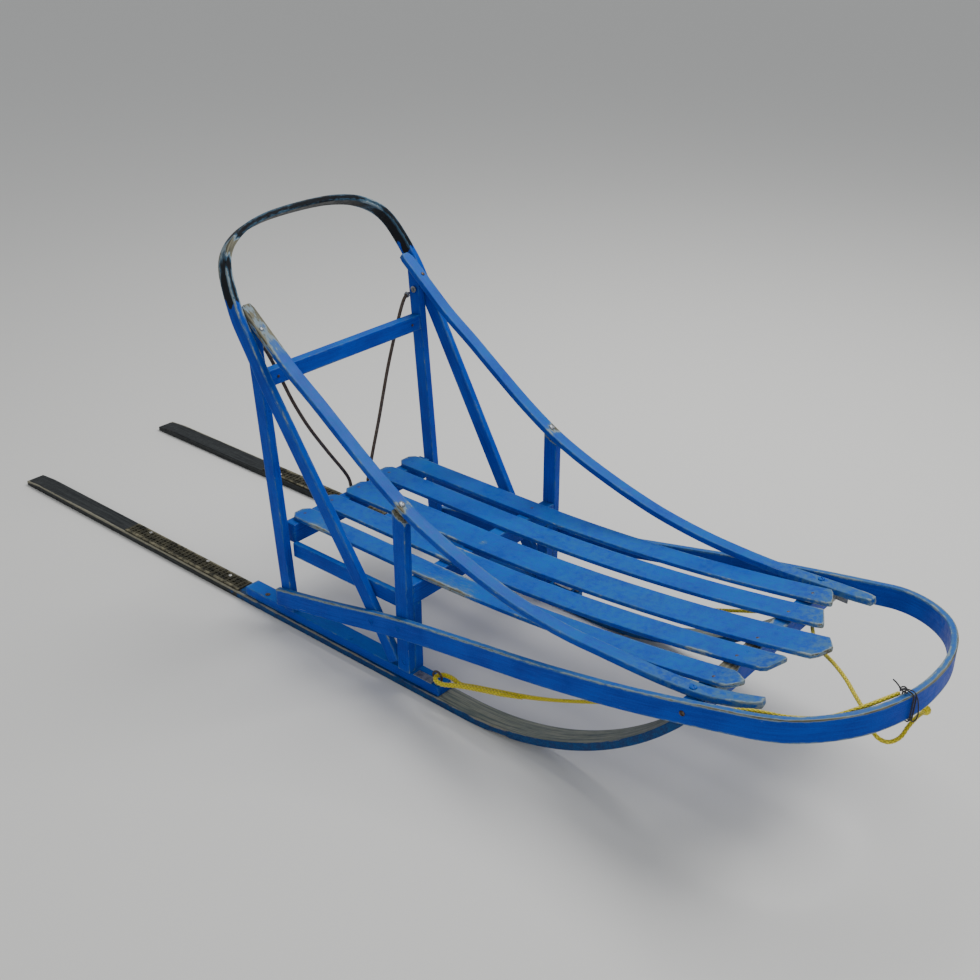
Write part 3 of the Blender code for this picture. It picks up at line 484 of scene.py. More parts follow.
def painted_wood(name):
    """Brushed blue paint over pale primer on ash, with a black grip, worn through at the edges, and up-facing faces
    lightened partly by dust and partly by painted sky light.
    """
    made, tree = new_material(name)
    grain, edge, bare, grip, fade = attributes_of(tree, "grain", "edge", "bare", "grip", "fade")
    cloud = grain.noise(9.0, 4.0)
    brushed = grain.noise((14.0, 420.0, 420.0), 4.0, 0.6)
    speck = grain.noise(620.0, 2.0)
    mottled = grain.noise(90.0, 4.0, 0.7)
    tone = cloud * 0.55 + brushed * 0.45 + (speck - 0.5) * 0.6
    blue = tone.step(0.30, 0.70).mix((0.0, 0.025, 0.290), (0.0, 0.066, 0.500))
    normal = add(tree, "ShaderNodeNewGeometry", None, "Normal")
    upward = add(tree, "ShaderNodeSeparateXYZ", {0: normal}, "Z")
    # Up-facing faces are painted lighter and more cyan: partly patchy dust, partly painted light from the sky falling
    # on the tops.
    dust_and_top_light = upward.step(0.3, 0.95) * (mottled + cloud * 0.6).step(0.55, 1.05, 0.25, 0.75)
    blue = dust_and_top_light.mix(blue, (0.0, 0.125, 0.420))
    blue = (fade * mottled.step(0.36, 0.66)).mix(blue, (0.055, 0.150, 0.290))
    black = mottled.step(0.35, 0.75).mix((0.0018, 0.0026, 0.0045), (0.005, 0.008, 0.014))
    coat = (grip + mottled * 0.5).step(0.70, 0.78).mix(blue, black)
    chip = grain.noise((60.0, 190.0, 190.0), 5.0, 0.7)
    patch = grain.noise((9.0, 22.0, 22.0), 2.0)
    scratch = grain.noise((16.0, 900.0, 900.0), 2.0)
    scratched = scratch.step(0.66, 0.70) * grain.noise(24.0, 2.0).step(0.58, 0.64)
    wear = edge * 0.34 + bare * 0.62 + chip * 0.70 + patch * 0.50 + scratched * 0.36
    thin = wear.step(1.02, 1.09)
    through = wear.step(1.15, 1.24)
    coat = (wear.step(0.82, 1.00) * 0.5).mix(coat, (0.070, 0.165, 0.260))
    primer = mottled.mix((0.11, 0.20, 0.27), (0.30, 0.33, 0.33))
    wood, streak = wood_grain(grain, (0.23, 0.215, 0.150), (0.050, 0.052, 0.040))
    colour = through.mix(thin.mix(coat, primer), wood)
    rough = mottled.step(0.3, 0.7, 0.38, 0.56) + thin * 0.2
    height = brushed * 0.45 - thin * 0.5 + speck * 0.35 + streak * through * 0.6
    finish_shader(tree, colour, rough, height, 0.55, 0.0006, 0.13)
    return made


def runner_wood(name):
    """Old runner plank: nearly black behind, blue on its sides in front, grey on the worn nose."""
    made, tree = new_material(name)
    grain, edge, nose, rubbed, blue_share = attributes_of(
        tree, "grain", "edge", "bare", "grip", "fade")
    dark, streak = wood_grain(grain, (0.030, 0.034, 0.034), (0.0060, 0.0075, 0.0095))
    grey, _ = wood_grain(grain, (0.270, 0.275, 0.215), (0.085, 0.110, 0.105))
    mottled = grain.noise(70.0, 4.0, 0.7)
    speck = grain.noise(500.0, 2.0)
    blue = (mottled + speck).step(0.8, 1.2).mix((0.0005, 0.022, 0.100), (0.001, 0.055, 0.190))
    base = (blue_share + mottled).step(0.85, 1.02).mix(dark, blue)
    base = (nose + mottled * 0.5).step(0.62, 0.85).mix(base, grey)
    chip = grain.noise((26.0, 200.0, 200.0), 5.0, 0.7)
    patch = grain.noise((5.0, 15.0, 15.0), 2.0)
    wear = edge * 0.32 + chip * 0.70 + patch * 0.50 + rubbed * 0.40
    pale = mottled.mix((0.13, 0.13, 0.10), (0.36, 0.33, 0.24))
    colour = (wear.step(1.00, 1.12) * 0.85).mix(base, pale)
    rough = mottled.step(0.3, 0.7, 0.55, 0.78)
    finish_shader(tree, colour, rough, streak + speck * 0.4, 0.6, 0.0007, 0.30)
    return made


def rubber(name):
    """Dusty olive-black rubber, rubbed pale where it stands proud."""
    made, tree = new_material(name)
    place = add(tree, "ShaderNodeTexCoord", None, "Object")
    cloud = place.noise(45.0, 4.0, 0.7)
    speck = place.noise(900.0, 2.0)
    proud, = attributes_of(tree, "edge")
    colour = cloud.step(0.3, 0.7).mix((0.013, 0.013, 0.009), (0.046, 0.043, 0.027))
    rubbed = proud * (cloud + speck * 0.3).step(0.50, 0.80)
    colour = rubbed.mix(colour, (0.190, 0.172, 0.112))
    finish_shader(tree, colour, cloud.step(0.3, 0.7, 0.62, 0.86), speck + cloud, 0.5, 0.0004, 0.20)
    return made


def metal(name, dark, light, rust, rusted, roughness, metallic):
    """Steel with cloudy tone and patches of rust; rusted is how much of it they cover."""
    made, tree = new_material(name)
    place = add(tree, "ShaderNodeTexCoord", None, "Object")
    cloud = place.noise(120.0, 4.0, 0.7)
    speck = place.noise(900.0, 3.0)
    steel = cloud.step(0.3, 0.7).mix(dark, light)
    brown = place.noise(210.0, 5.0, 0.75).step(0.78 - rusted * 0.5, 0.86 - rusted * 0.5)
    colour = brown.mix(steel, speck.mix(rust, tuple(part * 0.35 for part in rust)))
    rough = cloud.step(0.3, 0.7, roughness - 0.08, roughness + 0.1) + brown * 0.3
    shader = finish_shader(tree, colour, rough, speck + brown, 0.5, 0.0003)
    shine = brown.maths("SUBTRACT", metallic, brown * 0.6, clamp=True)
    tree.links.new(shine.socket, shader.inputs["Metallic"])
    return made


def rope_fibre(name, deep, bright, roughness):
    """Shiny split-film fibre, its filaments running along each strand, darkened by the painted shade that each point
    carries.
    """
    made, tree = new_material(name)
    strand, painted_crease_shade = attributes_of(tree, "grain", "edge")
    fibre = strand.noise((90.0, 2600.0, 2600.0))
    colour = (fibre + strand.noise(14.0) * 0.6).step(0.55, 1.0).mix(deep, bright)
    # Painted shade: for the ropes the edge attribute holds shade in the gaps between strands and plies, and darkens
    # the colour towards black.
    colour = (painted_crease_shade * 0.92).mix(colour, tuple(part * 0.10 for part in deep))
    rough = fibre.step(0.3, 0.7, roughness - 0.1, roughness + 0.12)
    shader = finish_shader(tree, colour, rough, fibre, 0.6, 0.0004)
    shader.inputs["Sheen Weight"].default_value = 0.15
    return made


def make_finishes():
    for kind, name, *values in (
        (painted_wood, "blue_paint"),
        (runner_wood, "runner_wood"),
        (rubber, "tread_rubber"),
        (metal, "steel", (0.14, 0.15, 0.17), (0.36, 0.37, 0.38), (0.085, 0.050, 0.030),
         0.22, 0.44, 0.85),
        (metal, "rubbed_steel", (0.50, 0.49, 0.46), (0.80, 0.79, 0.75), (0.16, 0.09, 0.05),
         0.05, 0.30, 0.9),
        (metal, "rusty_steel", (0.060, 0.048, 0.040), (0.150, 0.120, 0.095),
         (0.100, 0.048, 0.026), 0.55, 0.52, 0.7),
        (rope_fibre, "tow_rope", (0.50, 0.38, 0.001), (0.95, 0.80, 0.004), 0.42),
        (rope_fibre, "tie_cord", (0.006, 0.006, 0.008), (0.030, 0.030, 0.034), 0.5),
    ):
        FINISHES[name] = kind(name, *values)


# ---- Shape helpers ----
def ramp(value, start, span):
    """Rises from 0 at start to 1 where the value is this span beyond it."""
    return min(1.0, max(0.0, (value - start) / span))


def smooth_through(route, steps):
    """Points of a smooth curve through the route's own points, with this many to each span."""
    knots = [Vector(point) for point in route]
    padded = [2 * knots[0] - knots[1], *knots, 2 * knots[-1] - knots[-2]]
    points = []
    for a, b, c, d in zip(padded, padded[1:], padded[2:], padded[3:]):
        for index in range(steps):
            t = index / steps
            points.append(0.5 * (2 * b + (c - a) * t + (2 * a - 5 * b + 4 * c - d) * t ** 2
                                 + (3 * b - a - 3 * c + d) * t ** 3))
    points.append(knots[-1])
    return points


def distances(points):
    """How far along the line each point is."""
    travelled = [0.0]
    for a, b in zip(points, points[1:]):
        travelled.append(travelled[-1] + (b - a).length)
    return travelled


def evenly(points, gap):
    """The same line with its points about this far apart."""
    travelled = distances(points)
    count = max(2, round(travelled[-1] / gap) + 1)
    even = []
    span = 0
    for index in range(count):
        target = travelled[-1] * index / (count - 1)
        while span < len(points) - 2 and travelled[span + 1] < target:
            span += 1
        share = (target - travelled[span]) / (travelled[span + 1] - travelled[span])
        even.append(points[span].lerp(points[span + 1], share))
    return even


def tangents(points):
    ends = [points[0], *points, points[-1]]
    return [(after - before).normalized() for before, after in zip(ends, ends[2:])]


def frames_along(points):
    """A direction across the line and a third one at each point, turning as little as they can."""
    ways = tangents(points)
    across = ways[0].orthogonal().normalized()
    found = []
    for way in ways:
        across = (across - way * across.dot(way)).normalized()
        found.append((way, across, way.cross(across)))
    return found


def spot_value(spots, point):
    """The strongest of some soft round spots (station, y, z, radius, strength) at a point."""
    best = 0.0
    for x, y, z, radius, strength in spots:
        away = (point - ORIGIN - Vector((x, y, z))).length / radius
        if away < 1.0:
            best = max(best, strength * (1.0 - away * away))
    return best


def circle(sides):
    """The cosine and sine of each of this many equal turns."""
    turns = [2 * math.pi * index / sides for index in range(sides)]
    return [(math.cos(turn), math.sin(turn)) for turn in turns]


def skin(shape, loops, capped=True):
    """Adds the faces between neighbouring loops of points and, if capped, over both ends."""
    for here, there in zip(loops, loops[1:]):
        for square in zip(here, here[1:] + here[:1], there[1:] + there[:1], there):
            shape.faces.new(square)
    if capped:
        shape.faces.new(loops[0])
        shape.faces.new(loops[-1])


def fan(shape, loop, hub):
    """Closes a loop of points with triangles that meet at a hub."""
    for here, there in zip(loop, loop[1:] + loop[:1]):
        shape.faces.new((here, there, hub))


def finish_piece(name, shape, finish, replaced, attributes, smooth=50, slot_name=None):
    """Turns a bmesh into a piece that rides on the sled and stands for its CAD nodes."""
    bmesh.ops.recalc_face_normals(shape, faces=shape.faces)
    mesh = bpy.data.meshes.new(name)
    shape.to_mesh(mesh)
    shape.free()
    for key, values in attributes.items():
        kind, field = ("FLOAT_VECTOR", "vector") if key == "grain" else ("FLOAT", "value")
        layer = mesh.attributes.new(key, kind, "POINT")
        layer.data.foreach_set(field, np.ravel(values).astype(np.float32))
    mesh.shade_smooth()
    mesh.set_sharp_from_angle(angle=math.radians(smooth))
    mesh.materials.append(FINISHES[finish])
    piece = put(name, mesh)
    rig.ride(piece, "root")
    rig.slot(piece, slot_name or finish)
    if replaced:
        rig.replaces(piece, *replaced)
    return piece


def side_columns(length, arris, extra):
    """Distances from the corner of the points along one side of a strip's section."""
    near = min(arris + 0.0015, 0.28 * length)
    next_in = min(arris + 0.0045, 0.40 * length)
    inner = [next_in + (length - 2 * next_in) * (index + 1) / (extra + 1) for index in range(extra)]
    return [near, next_in, *inner, length - next_in, length - near]


def section(corners, arris, extras):
    """Points round a four-cornered section with rounded corners, each with its edge wear."""
    points, wear = [], []
    for index, here in enumerate(corners):
        ahead, behind = corners[(index + 1) % 4] - here, corners[index - 1] - here
        length = ahead.length
        ahead, radius = ahead / length, min(arris, 0.3 * length, 0.3 * behind.length)
        behind = behind.normalized()
        middle = here + (ahead + behind) * radius * 0.293
        points += [here + behind * radius, middle, here + ahead * radius]
        wear += [0.9, 1.0, 0.9]
        for away in side_columns(length, radius, extras[index]):
            points.append(here + ahead * away)
            nearest = min(away, length - away) - radius
            wear.append(max(0.0, 1.0 - nearest / EDGE_FADE))
    return points, wear


def strip(name, rings, replaced, finish="blue_paint", arris=ARRIS, bare=(), grip=None, fade=None,
          shift=0.0, columns=COLUMN_STEP, rows=RING_STEP):
    """A bent or straight strip of wood through rings of four corners, with rounded edges.

    It stores where each point is along and across the strip, how near an edge it is and how
    worn it is, for the material."""
    rings = [[Vector(corner) + ORIGIN for corner in ring] for ring in rings]
    travelled = distances([sum(ring, Vector()) / 4 for ring in rings])
    total = travelled[-1]
    widest = [max((ring[(side + 1) % 4] - ring[side]).length for ring in rings)
              for side in range(4)]
    extras = [max(1, round(width / columns) - 1) for width in widest]
    count = max(2, round((total - 2 * arris) / rows))
    places = {0.0, 0.3 * arris, total - 0.3 * arris, total}
    places.update(arris + (total - 2 * arris) * index / count for index in range(count + 1))
    places.update(here for here, before, after in zip(travelled[1:-1], travelled, travelled[2:])
                  if min(after - here, here - before) < KINK_GAP)
    shape = bmesh.new()
    marks = {"grain": [], "edge": [], "bare": [], "grip": [], "fade": []}
    loops = []
    span = 0

    def store(point, along, across, up, edge):
        local = point - ORIGIN
        worn = bare(local, edge, across) if callable(bare) else spot_value(bare, point)
        values = ((along + shift, across, up), edge, worn, grip(local, edge) if grip else 0.0,
                  fade(local) if fade else 0.0)
        for kept, value in zip(marks.values(), values):
            kept.append(value)
        return shape.verts.new(point)

    for along in sorted(places):
        while span < len(travelled) - 2 and travelled[span + 1] < along:
            span += 1
        share = (along - travelled[span]) / (travelled[span + 1] - travelled[span])
        corners = [a.lerp(b, share) for a, b in zip(rings[span], rings[span + 1])]
        end = min(along, total - along)
        if end < arris:
            inset = arris * (1.0 - math.sqrt(max(0.0, 1.0 - (1.0 - end / arris) ** 2)))
            corners = [here + ((ahead - here).normalized() + (behind - here).normalized()) * inset
                       for here, ahead, behind in zip(corners, corners[1:] + corners[:1],
                                                      corners[-1:] + corners[:-1])]
        middle = sum(corners, Vector()) / 4
        side = (corners[1] - corners[0]).normalized()
        up = (corners[3] - corners[0]).normalized()
        from_end = 1.0 - ramp(end, arris, EDGE_FADE)
        loops.append([store(point, along, (point - middle).dot(side), (point - middle).dot(up),
                            max(edge, from_end))
                      for point, edge in zip(*section(corners, arris, extras))])
    skin(shape, loops, capped=False)
    for loop, along in ((loops[0], 0.0), (loops[-1], total)):
        centre = sum((vert.co for vert in loop), Vector()) / len(loop)
        fan(shape, loop, store(centre, along, 0.0, 0.0, 0.3))
    return finish_piece(name, shape, finish, replaced, marks)


def ends_of(node, axis):
    """The four-cornered end rings of a straight CAD plank that runs along an axis."""
    points = [vert.co for vert in frame["nodes"][node].data.vertices]
    others = [index for index in range(3) if index != axis]
    rings = []
    for end in (-1, 1):
        ring = []
        for first, second in ((-1, -1), (1, -1), (1, 1), (-1, 1)):
            signs = [0, 0, 0]
            signs[axis], signs[others[0]], signs[others[1]] = end, first, second
            best = max(points, key=lambda point: sum(s * c for s, c in zip(signs, point)))
            ring.append(best - ORIGIN)
        rings.append(ring)
    return rings


def turned(name, profile, place, axis, finish, sides, replaced=(), corners=0, groove=None,
           slot_name=None):
    """A turned solid from (radius, distance along the axis) pairs.

    With corners it is a prism of that many sides, and groove gives the half width and the depth
    of a screwdriver's slot across its first end."""
    axis = Vector(axis).normalized()
    across = axis.orthogonal().normalized()
    third = axis.cross(across)
    place = Vector(place) + ORIGIN
    shape = bmesh.new()
    start, end = (shape.verts.new(place + axis * along) for _, along in (profile[0], profile[-1]))
    sector = math.pi / corners if corners else 0.0
    rings = []
    for radius, along in profile[1:-1]:
        ring = []
        for index, (cosine, sine) in enumerate(circle(sides)):
            reach = radius
            if corners:
                turn = 2 * math.pi * index / sides
                reach = radius * math.cos(sector) / math.cos((turn % (2 * sector)) - sector)
            ring.append(shape.verts.new(place + axis * along
                                        + reach * (cosine * across + sine * third)))
        rings.append(ring)
    fan(shape, rings[0], start)
    fan(shape, rings[-1], end)
    skin(shape, rings, capped=False)
    if groove:
        cut_groove(shape, place, axis, across, *groove)
    widest = max(radius for radius, _ in profile)
    worn = [0.55 * min(1.0, (vert.co - place).cross(axis).length / widest) for vert in shape.verts]
    marks = {"grain": [vert.co.copy() for vert in shape.verts], "edge": worn}
    return finish_piece(name, shape, finish, replaced, marks, 34, slot_name)


def cut_groove(shape, place, axis, across, half, depth):
    """Sinks a straight slot into the domed side of a head, on the side away from the axis."""
    for offset in (-1.12, -1.0, 1.0, 1.12):
        bmesh.ops.bisect_plane(shape, geom=[*shape.verts, *shape.edges, *shape.faces],
                               plane_co=place + across * half * offset, plane_no=across)
    for vert in shape.verts:
        away = vert.co - place
        if abs(away.dot(across)) < half * 1.05 and away.dot(axis) < -1e-5:
            vert.co += axis * min(depth, -away.dot(axis))


def nut(name, radius, bottom, top, cuts, place, axis, finish, slot_name=None):
    """A hexagonal nut. Each of its two chamfers runs this far in and this far along."""
    (low_in, low_along), (high_in, high_along) = cuts
    profile = [(0, bottom), (radius - low_in, bottom), (radius, bottom + low_along),
               (radius, top - high_along), (radius - high_in, top), (0, top)]
    turned(name, profile, place, axis, finish, 48, corners=6, slot_name=slot_name)


def rod(name, points, radius, finish, replaced, sides):
    """A round bar along a line of points, narrowed at its two ends."""
    shape = bmesh.new()
    loops = []
    for index, (point, (_, across, third)) in enumerate(zip(points, frames_along(points))):
        reach = radius * (0.55 if index in (0, len(points) - 1) else 1.0)
        loops.append([shape.verts.new(point + ORIGIN + reach * (cosine * across + sine * third))
                      for cosine, sine in circle(sides)])
    skin(shape, loops)
    return finish_piece(name, shape, finish, replaced, {}, smooth=55)


# ---- Wooden parts ----
def deck_top(x):
    """Height of the slats' top faces at a station."""
    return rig.box("slat_middle")[0].z + SLAT_THICK + DECK_RISE * (max(x, 0.0) / DECK_RISE_X) ** 2


def make_runner(side):
    node = f"runner_{SIDES[side]}"
    low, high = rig.box(node)
    tail, nose_z = low.x - ORIGIN.x, high.z
    inner = RUNNER_RADIUS - RUNNER_THICK

    def ring(bottom, top):
        return [(bottom[0], low.y, bottom[1]), (bottom[0], high.y, bottom[1]),
                (top[0], high.y, top[1]), (top[0], low.y, top[1])]

    flat_steps, bend_steps = 90, 48
    rings = []
    for index in range(flat_steps):
        x = tail + (RUNNER_BEND_X - tail) * index / flat_steps
        taper = TAIL_THINNING * (1.0 - ramp(x, tail, TAIL_TAPER))
        rings.append(ring((x, 0.0), (x, RUNNER_THICK - taper)))
    drop = RUNNER_RADIUS - nose_z
    last_turn = math.acos(drop / inner) - math.radians(1.5)
    for index in range(bend_steps + 1):
        turn = last_turn * index / bend_steps
        sine, cosine = math.sin(turn), math.cos(turn)
        rings.append(ring((RUNNER_BEND_X + RUNNER_RADIUS * sine, RUNNER_RADIUS * (1 - cosine)),
                          (RUNNER_BEND_X + inner * sine, RUNNER_RADIUS - inner * cosine)))
    rings.append(ring((RUNNER_BEND_X + math.sqrt(RUNNER_RADIUS ** 2 - drop ** 2), nose_z),
                      (RUNNER_BEND_X + math.sqrt(inner ** 2 - drop ** 2), nose_z)))

    def nose(point, edge, across):
        """The worn upper face of the plank in front of the cap."""
        margin = 0.0008
        reach = math.hypot(point.x - RUNNER_BEND_X, RUNNER_RADIUS - point.z)
        bent = point.x > RUNNER_BEND_X
        on_top = reach < inner + margin if bent else point.z > RUNNER_THICK - margin
        inside = low.y + margin < point.y < high.y - margin
        return ramp(point.x, 0.085, 0.05) if on_top and inside else 0.0

    def blue(point):
        return ramp(point.x, -0.62, 0.25)

    def arris_wear(point, edge):
        """The outer upper edge is rubbed pale from the tail to the bend."""
        outer = side * point.y > 0.2425 and 0.007 < point.z and point.x < 0.30
        return edge * (1.0 if point.x < -0.45 else 0.55) if outer else 0.0

    strip(node.replace("runner", "runner_plank"), rings, [node], "runner_wood",
          bare=nose, grip=arris_wear, fade=blue, shift=1.7 * side, columns=0.006)


def make_plank(node, axis, bare=()):
    """A straight plank in the place of a CAD one."""
    strip(f"{node}_wood", ends_of(node, axis), [node], bare=bare,
          shift=sum(map(ord, node)) * 0.137 % 9.0)


def make_front_crosspiece():
    """The bar under the slats' front ends, cut down at both ends for the rails."""
    node = "crosspiece_front"
    low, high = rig.box(node)
    rear, front = low.x - ORIGIN.x, high.x - ORIGIN.x
    centre, shoulder, cut = 0.5 * (rear + front), 0.2050, 0.0005
    seat = max(round(vert.co.z, 4) for vert in frame["nodes"][node].data.vertices
               if abs(vert.co.y) > high.y - 0.001)
    rings = [[(rear, y, low.z), (front, y, low.z), (front, y, top), (rear, y, top)]
             for y, top in ((low.y, seat), (-shoulder - cut, seat), (-shoulder, high.z),
                            (shoulder, high.z), (shoulder + cut, seat), (high.y, seat))]
    strip("crosspiece_front_wood", rings, [node], shift=4.1,
          bare=((centre, -0.1335, high.z, 0.026, 1.8), (centre, -0.055, high.z, 0.024, 1.8),
                (centre, 0.0435, high.z, 0.026, 0.5), (front, -0.165, high.z - 0.01, 0.045, 0.75)))


def make_handlebar():
    low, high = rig.box("handlebar")
    low_z, butt_x = low.z, high.x - ORIGIN.x
    right = [Vector((0.0, -y, z)) for y, z in HOOP_ROUTE]
    left = [Vector((0.0, y, z)) for y, z in reversed(HOOP_ROUTE)]
    line = smooth_through([*right, Vector((0.0, 0.0, HOOP_TOP)), *left], 8)
    line = [Vector((HOOP_X - HOOP_RAKE * p.z, p.y, p.z)) for p in line]
    normal = Vector((1.0, 0.0, HOOP_RAKE)).normalized()
    across = normal * 0.5 * HOOP_WIDTH
    rings = []
    for point, way in zip(line, tangents(line)):
        thick = HOOP_THICK - HOOP_THINNING * ramp(point.z, HOOP_THIN_FROM, HOOP_THIN_OVER)
        through = way.cross(normal).normalized() * 0.5 * thick
        ring = [point - across - through, point + across - through,
                point + across + through, point - across + through]
        if min(corner.z for corner in ring) < low_z - 0.004:
            continue
        for corner in ring:
            corner.z = max(corner.z, low_z)
            corner.x = min(corner.x, butt_x)
        rings.append(ring)

    def grip(point, edge):
        ragged = 0.010 * math.sin(point.x * 190.0) + 0.006 * math.sin(point.y * 700.0)
        return ramp(point.z + ragged, GRIP_FROM - 0.012, 0.024)

    spots = (
        (-0.470, -0.2060, 0.828, 0.034, 1.10), (-0.480, -0.2270, 0.812, 0.030, 0.85),
        (-0.468, -0.2400, 0.786, 0.024, 0.60), (-0.480, 0.1950, 0.838, 0.040, 0.50),
        (-0.404, -0.2420, 0.715, 0.026, 0.50), (-0.380, -0.2550, 0.690, 0.018, 0.4),
    )

    def bare(point, edge, across):
        """Rubbed at the near upper corner and down the front edge of the near leg."""
        rubbed = spot_value(spots, point + ORIGIN)
        if point.y < 0 and 0.60 < point.z < 0.80 and point.x > HOOP_X - HOOP_RAKE * point.z:
            rubbed = max(rubbed, 0.30 * edge)
        return rubbed

    strip("handlebar_strip", rings, ["handlebar"], bare=bare, grip=grip, shift=6.3, arris=0.0022,
          columns=0.006, rows=0.008)


def make_rail(side):
    line = evenly(smooth_through(RAIL_ROUTE, 10), 0.004)
    travelled = distances(line)
    rings = []
    for point, way, along in zip(line, tangents(line), travelled):
        normal = way.cross(Vector((0.0, 1.0, 0.0))).normalized()
        across = normal.cross(way).normalized()
        if across.y < 0:
            across = -across
        inner = outer = RAIL_HALF
        from_tip = travelled[-1] - along
        if from_tip < RAIL_TIP:
            roundness = math.sqrt(1 - (1 - from_tip / RAIL_TIP) ** 2)
            outer = RAIL_HALF * (RAIL_TIP_SHARE + (1 - RAIL_TIP_SHARE) * roundness)
        if along < RAIL_END_ROUND:
            roundness = 0.45 + 0.55 * math.sqrt(1 - (1 - along / RAIL_END_ROUND) ** 2)
            outer *= roundness
            inner *= 0.5 + 0.5 * roundness
        corners = [point - across * inner, point + across * outer]
        corners += [corner - normal * RAIL_THICK for corner in reversed(corners)]
        rings.append([Vector((c.x, side * c.y, c.z)) for c in corners])
    spots = [(0.70, side * 0.2200, 0.306, 0.070, 0.12), (0.78, side * 0.2080, 0.318, 0.060, 0.30),
             (0.020, side * 0.2350, 0.420, 0.022, 0.95)]
    if side == RIGHT:
        spots += [(-0.385, -0.2310, 0.712, 0.040, 1.05), (-0.350, -0.2310, 0.684, 0.042, 0.95),
                  (-0.322, -0.2310, 0.660, 0.030, 0.60), (0.28, -0.2330, 0.330, 0.090, 0.16)]

    def fade(point):
        return min(1.0, 0.10 + ramp(point.x, 0.52, 0.16))

    strip(f"side_rail_strip_{SIDES[side]}", rings, [f"side_rail_{SIDES[side]}"], bare=spots,
          fade=fade, shift=2.9 * side, columns=0.006)


def bow_line():
    """The outline of the bow's top edge, from its right end round to its left."""
    right = [Vector((x, -y, z)) for x, y, z in BOW_ROUTE]
    return smooth_through([*right, Vector(BOW_TIP), *map(Vector, reversed(BOW_ROUTE))], 10)


def bow_top(point):
    """Height of the bow's top edge beside a point."""
    routes = (*BOW_ROUTE, BOW_TIP)
    if point.x < BOW_ROUTE[-1][0]:
        for (x0, _, z0), (x1, _, z1) in zip(routes, routes[1:]):
            if point.x < x1:
                return z0 + (z1 - z0) * max(0.0, (point.x - x0) / (x1 - x0))
    return BOW_TIP[2]


def make_bow():
    line = evenly(bow_line(), 0.006)
    rings = []
    for point, way in zip(line, tangents([Vector((p.x, p.y, 0.0)) for p in line])):
        out = Vector((way.y, -way.x, 0.0)).normalized() * 0.5 * BOW_THICK
        grown = ramp(point.x, BOW_ROUTE[0][0], BOW_GROWS_OVER)
        down = Vector((0.0, 0.0, -(BOW_END_HEIGHT + (BOW_HEIGHT - BOW_END_HEIGHT) * grown)))
        rings.append([point + out, point - out, point - out + down, point + out + down])

    def top_wear(point, edge, across):
        """The top is rubbed, most of all its outer arris, and the lower outer arris in front."""
        below = bow_top(point) - point.z
        forward = ramp(point.x, 0.55, 0.35)
        outer = across < -0.3 * BOW_THICK
        if below < BOW_TOP_BAND:
            return (0.34 + 0.26 * forward) * edge if outer else 0.10 + 0.12 * forward
        return 0.42 * forward * edge if below > BOW_HEIGHT - 0.004 and outer else 0.0

    def faded(point):
        return 0.75 if bow_top(point) - point.z < BOW_TOP_BAND else 0.0

    strip("brush_bow_strip", rings, ["brush_bow"], bare=top_wear, fade=faded, shift=3.3)


def make_slat(node):
    low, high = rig.box(node)
    rear, front = low.x - ORIGIN.x, high.x - ORIGIN.x
    middle = 0.5 * (low.y + high.y)

    def cut_at(x, corner):
        """How far the slat's side is cut back here, at a clipped rear or front corner."""
        length, depth = corner
        behind = SLAT_CLIP - min(SLAT_CLIP, x - rear)
        return max(behind, depth * (1 - min(1, (front - x) / length)))

    stations = [rear + 0.002 * index for index in range(9)]
    stations += [rear + 0.02 + (front - rear - 0.06) * index / 60 for index in range(61)]
    stations += [front - 0.038 + 0.002 * index for index in range(20)]
    rings = []
    for x in stations:
        right, left = (cut_at(x, corner) for corner in SLAT_CORNERS[node])
        right, left, top = low.y + right, high.y - left, deck_top(x)
        bottom = top - SLAT_THICK
        rings.append([(x, right, bottom), (x, left, bottom), (x, left, top), (x, right, top)])

    def fade(point):
        """Paler and greyer towards the front end, and in a few patches."""
        patches = 0.22 * math.sin(point.x * 5.0 + middle * 40.0) ** 2
        return min(1.0, 0.10 + patches + 1.1 * (1.0 - ramp(front - point.x, 0.0, 0.075)))

    spots = [(front - 0.004, middle, deck_top(front), 0.060, 0.40),
             (rear + 0.004, middle, deck_top(rear), 0.040, 0.26), *SLAT_SPOTS.get(node, ())]
    strip(f"{node}_board", rings, [node], bare=spots, fade=fade, shift=middle * 31.0 + 5.0)


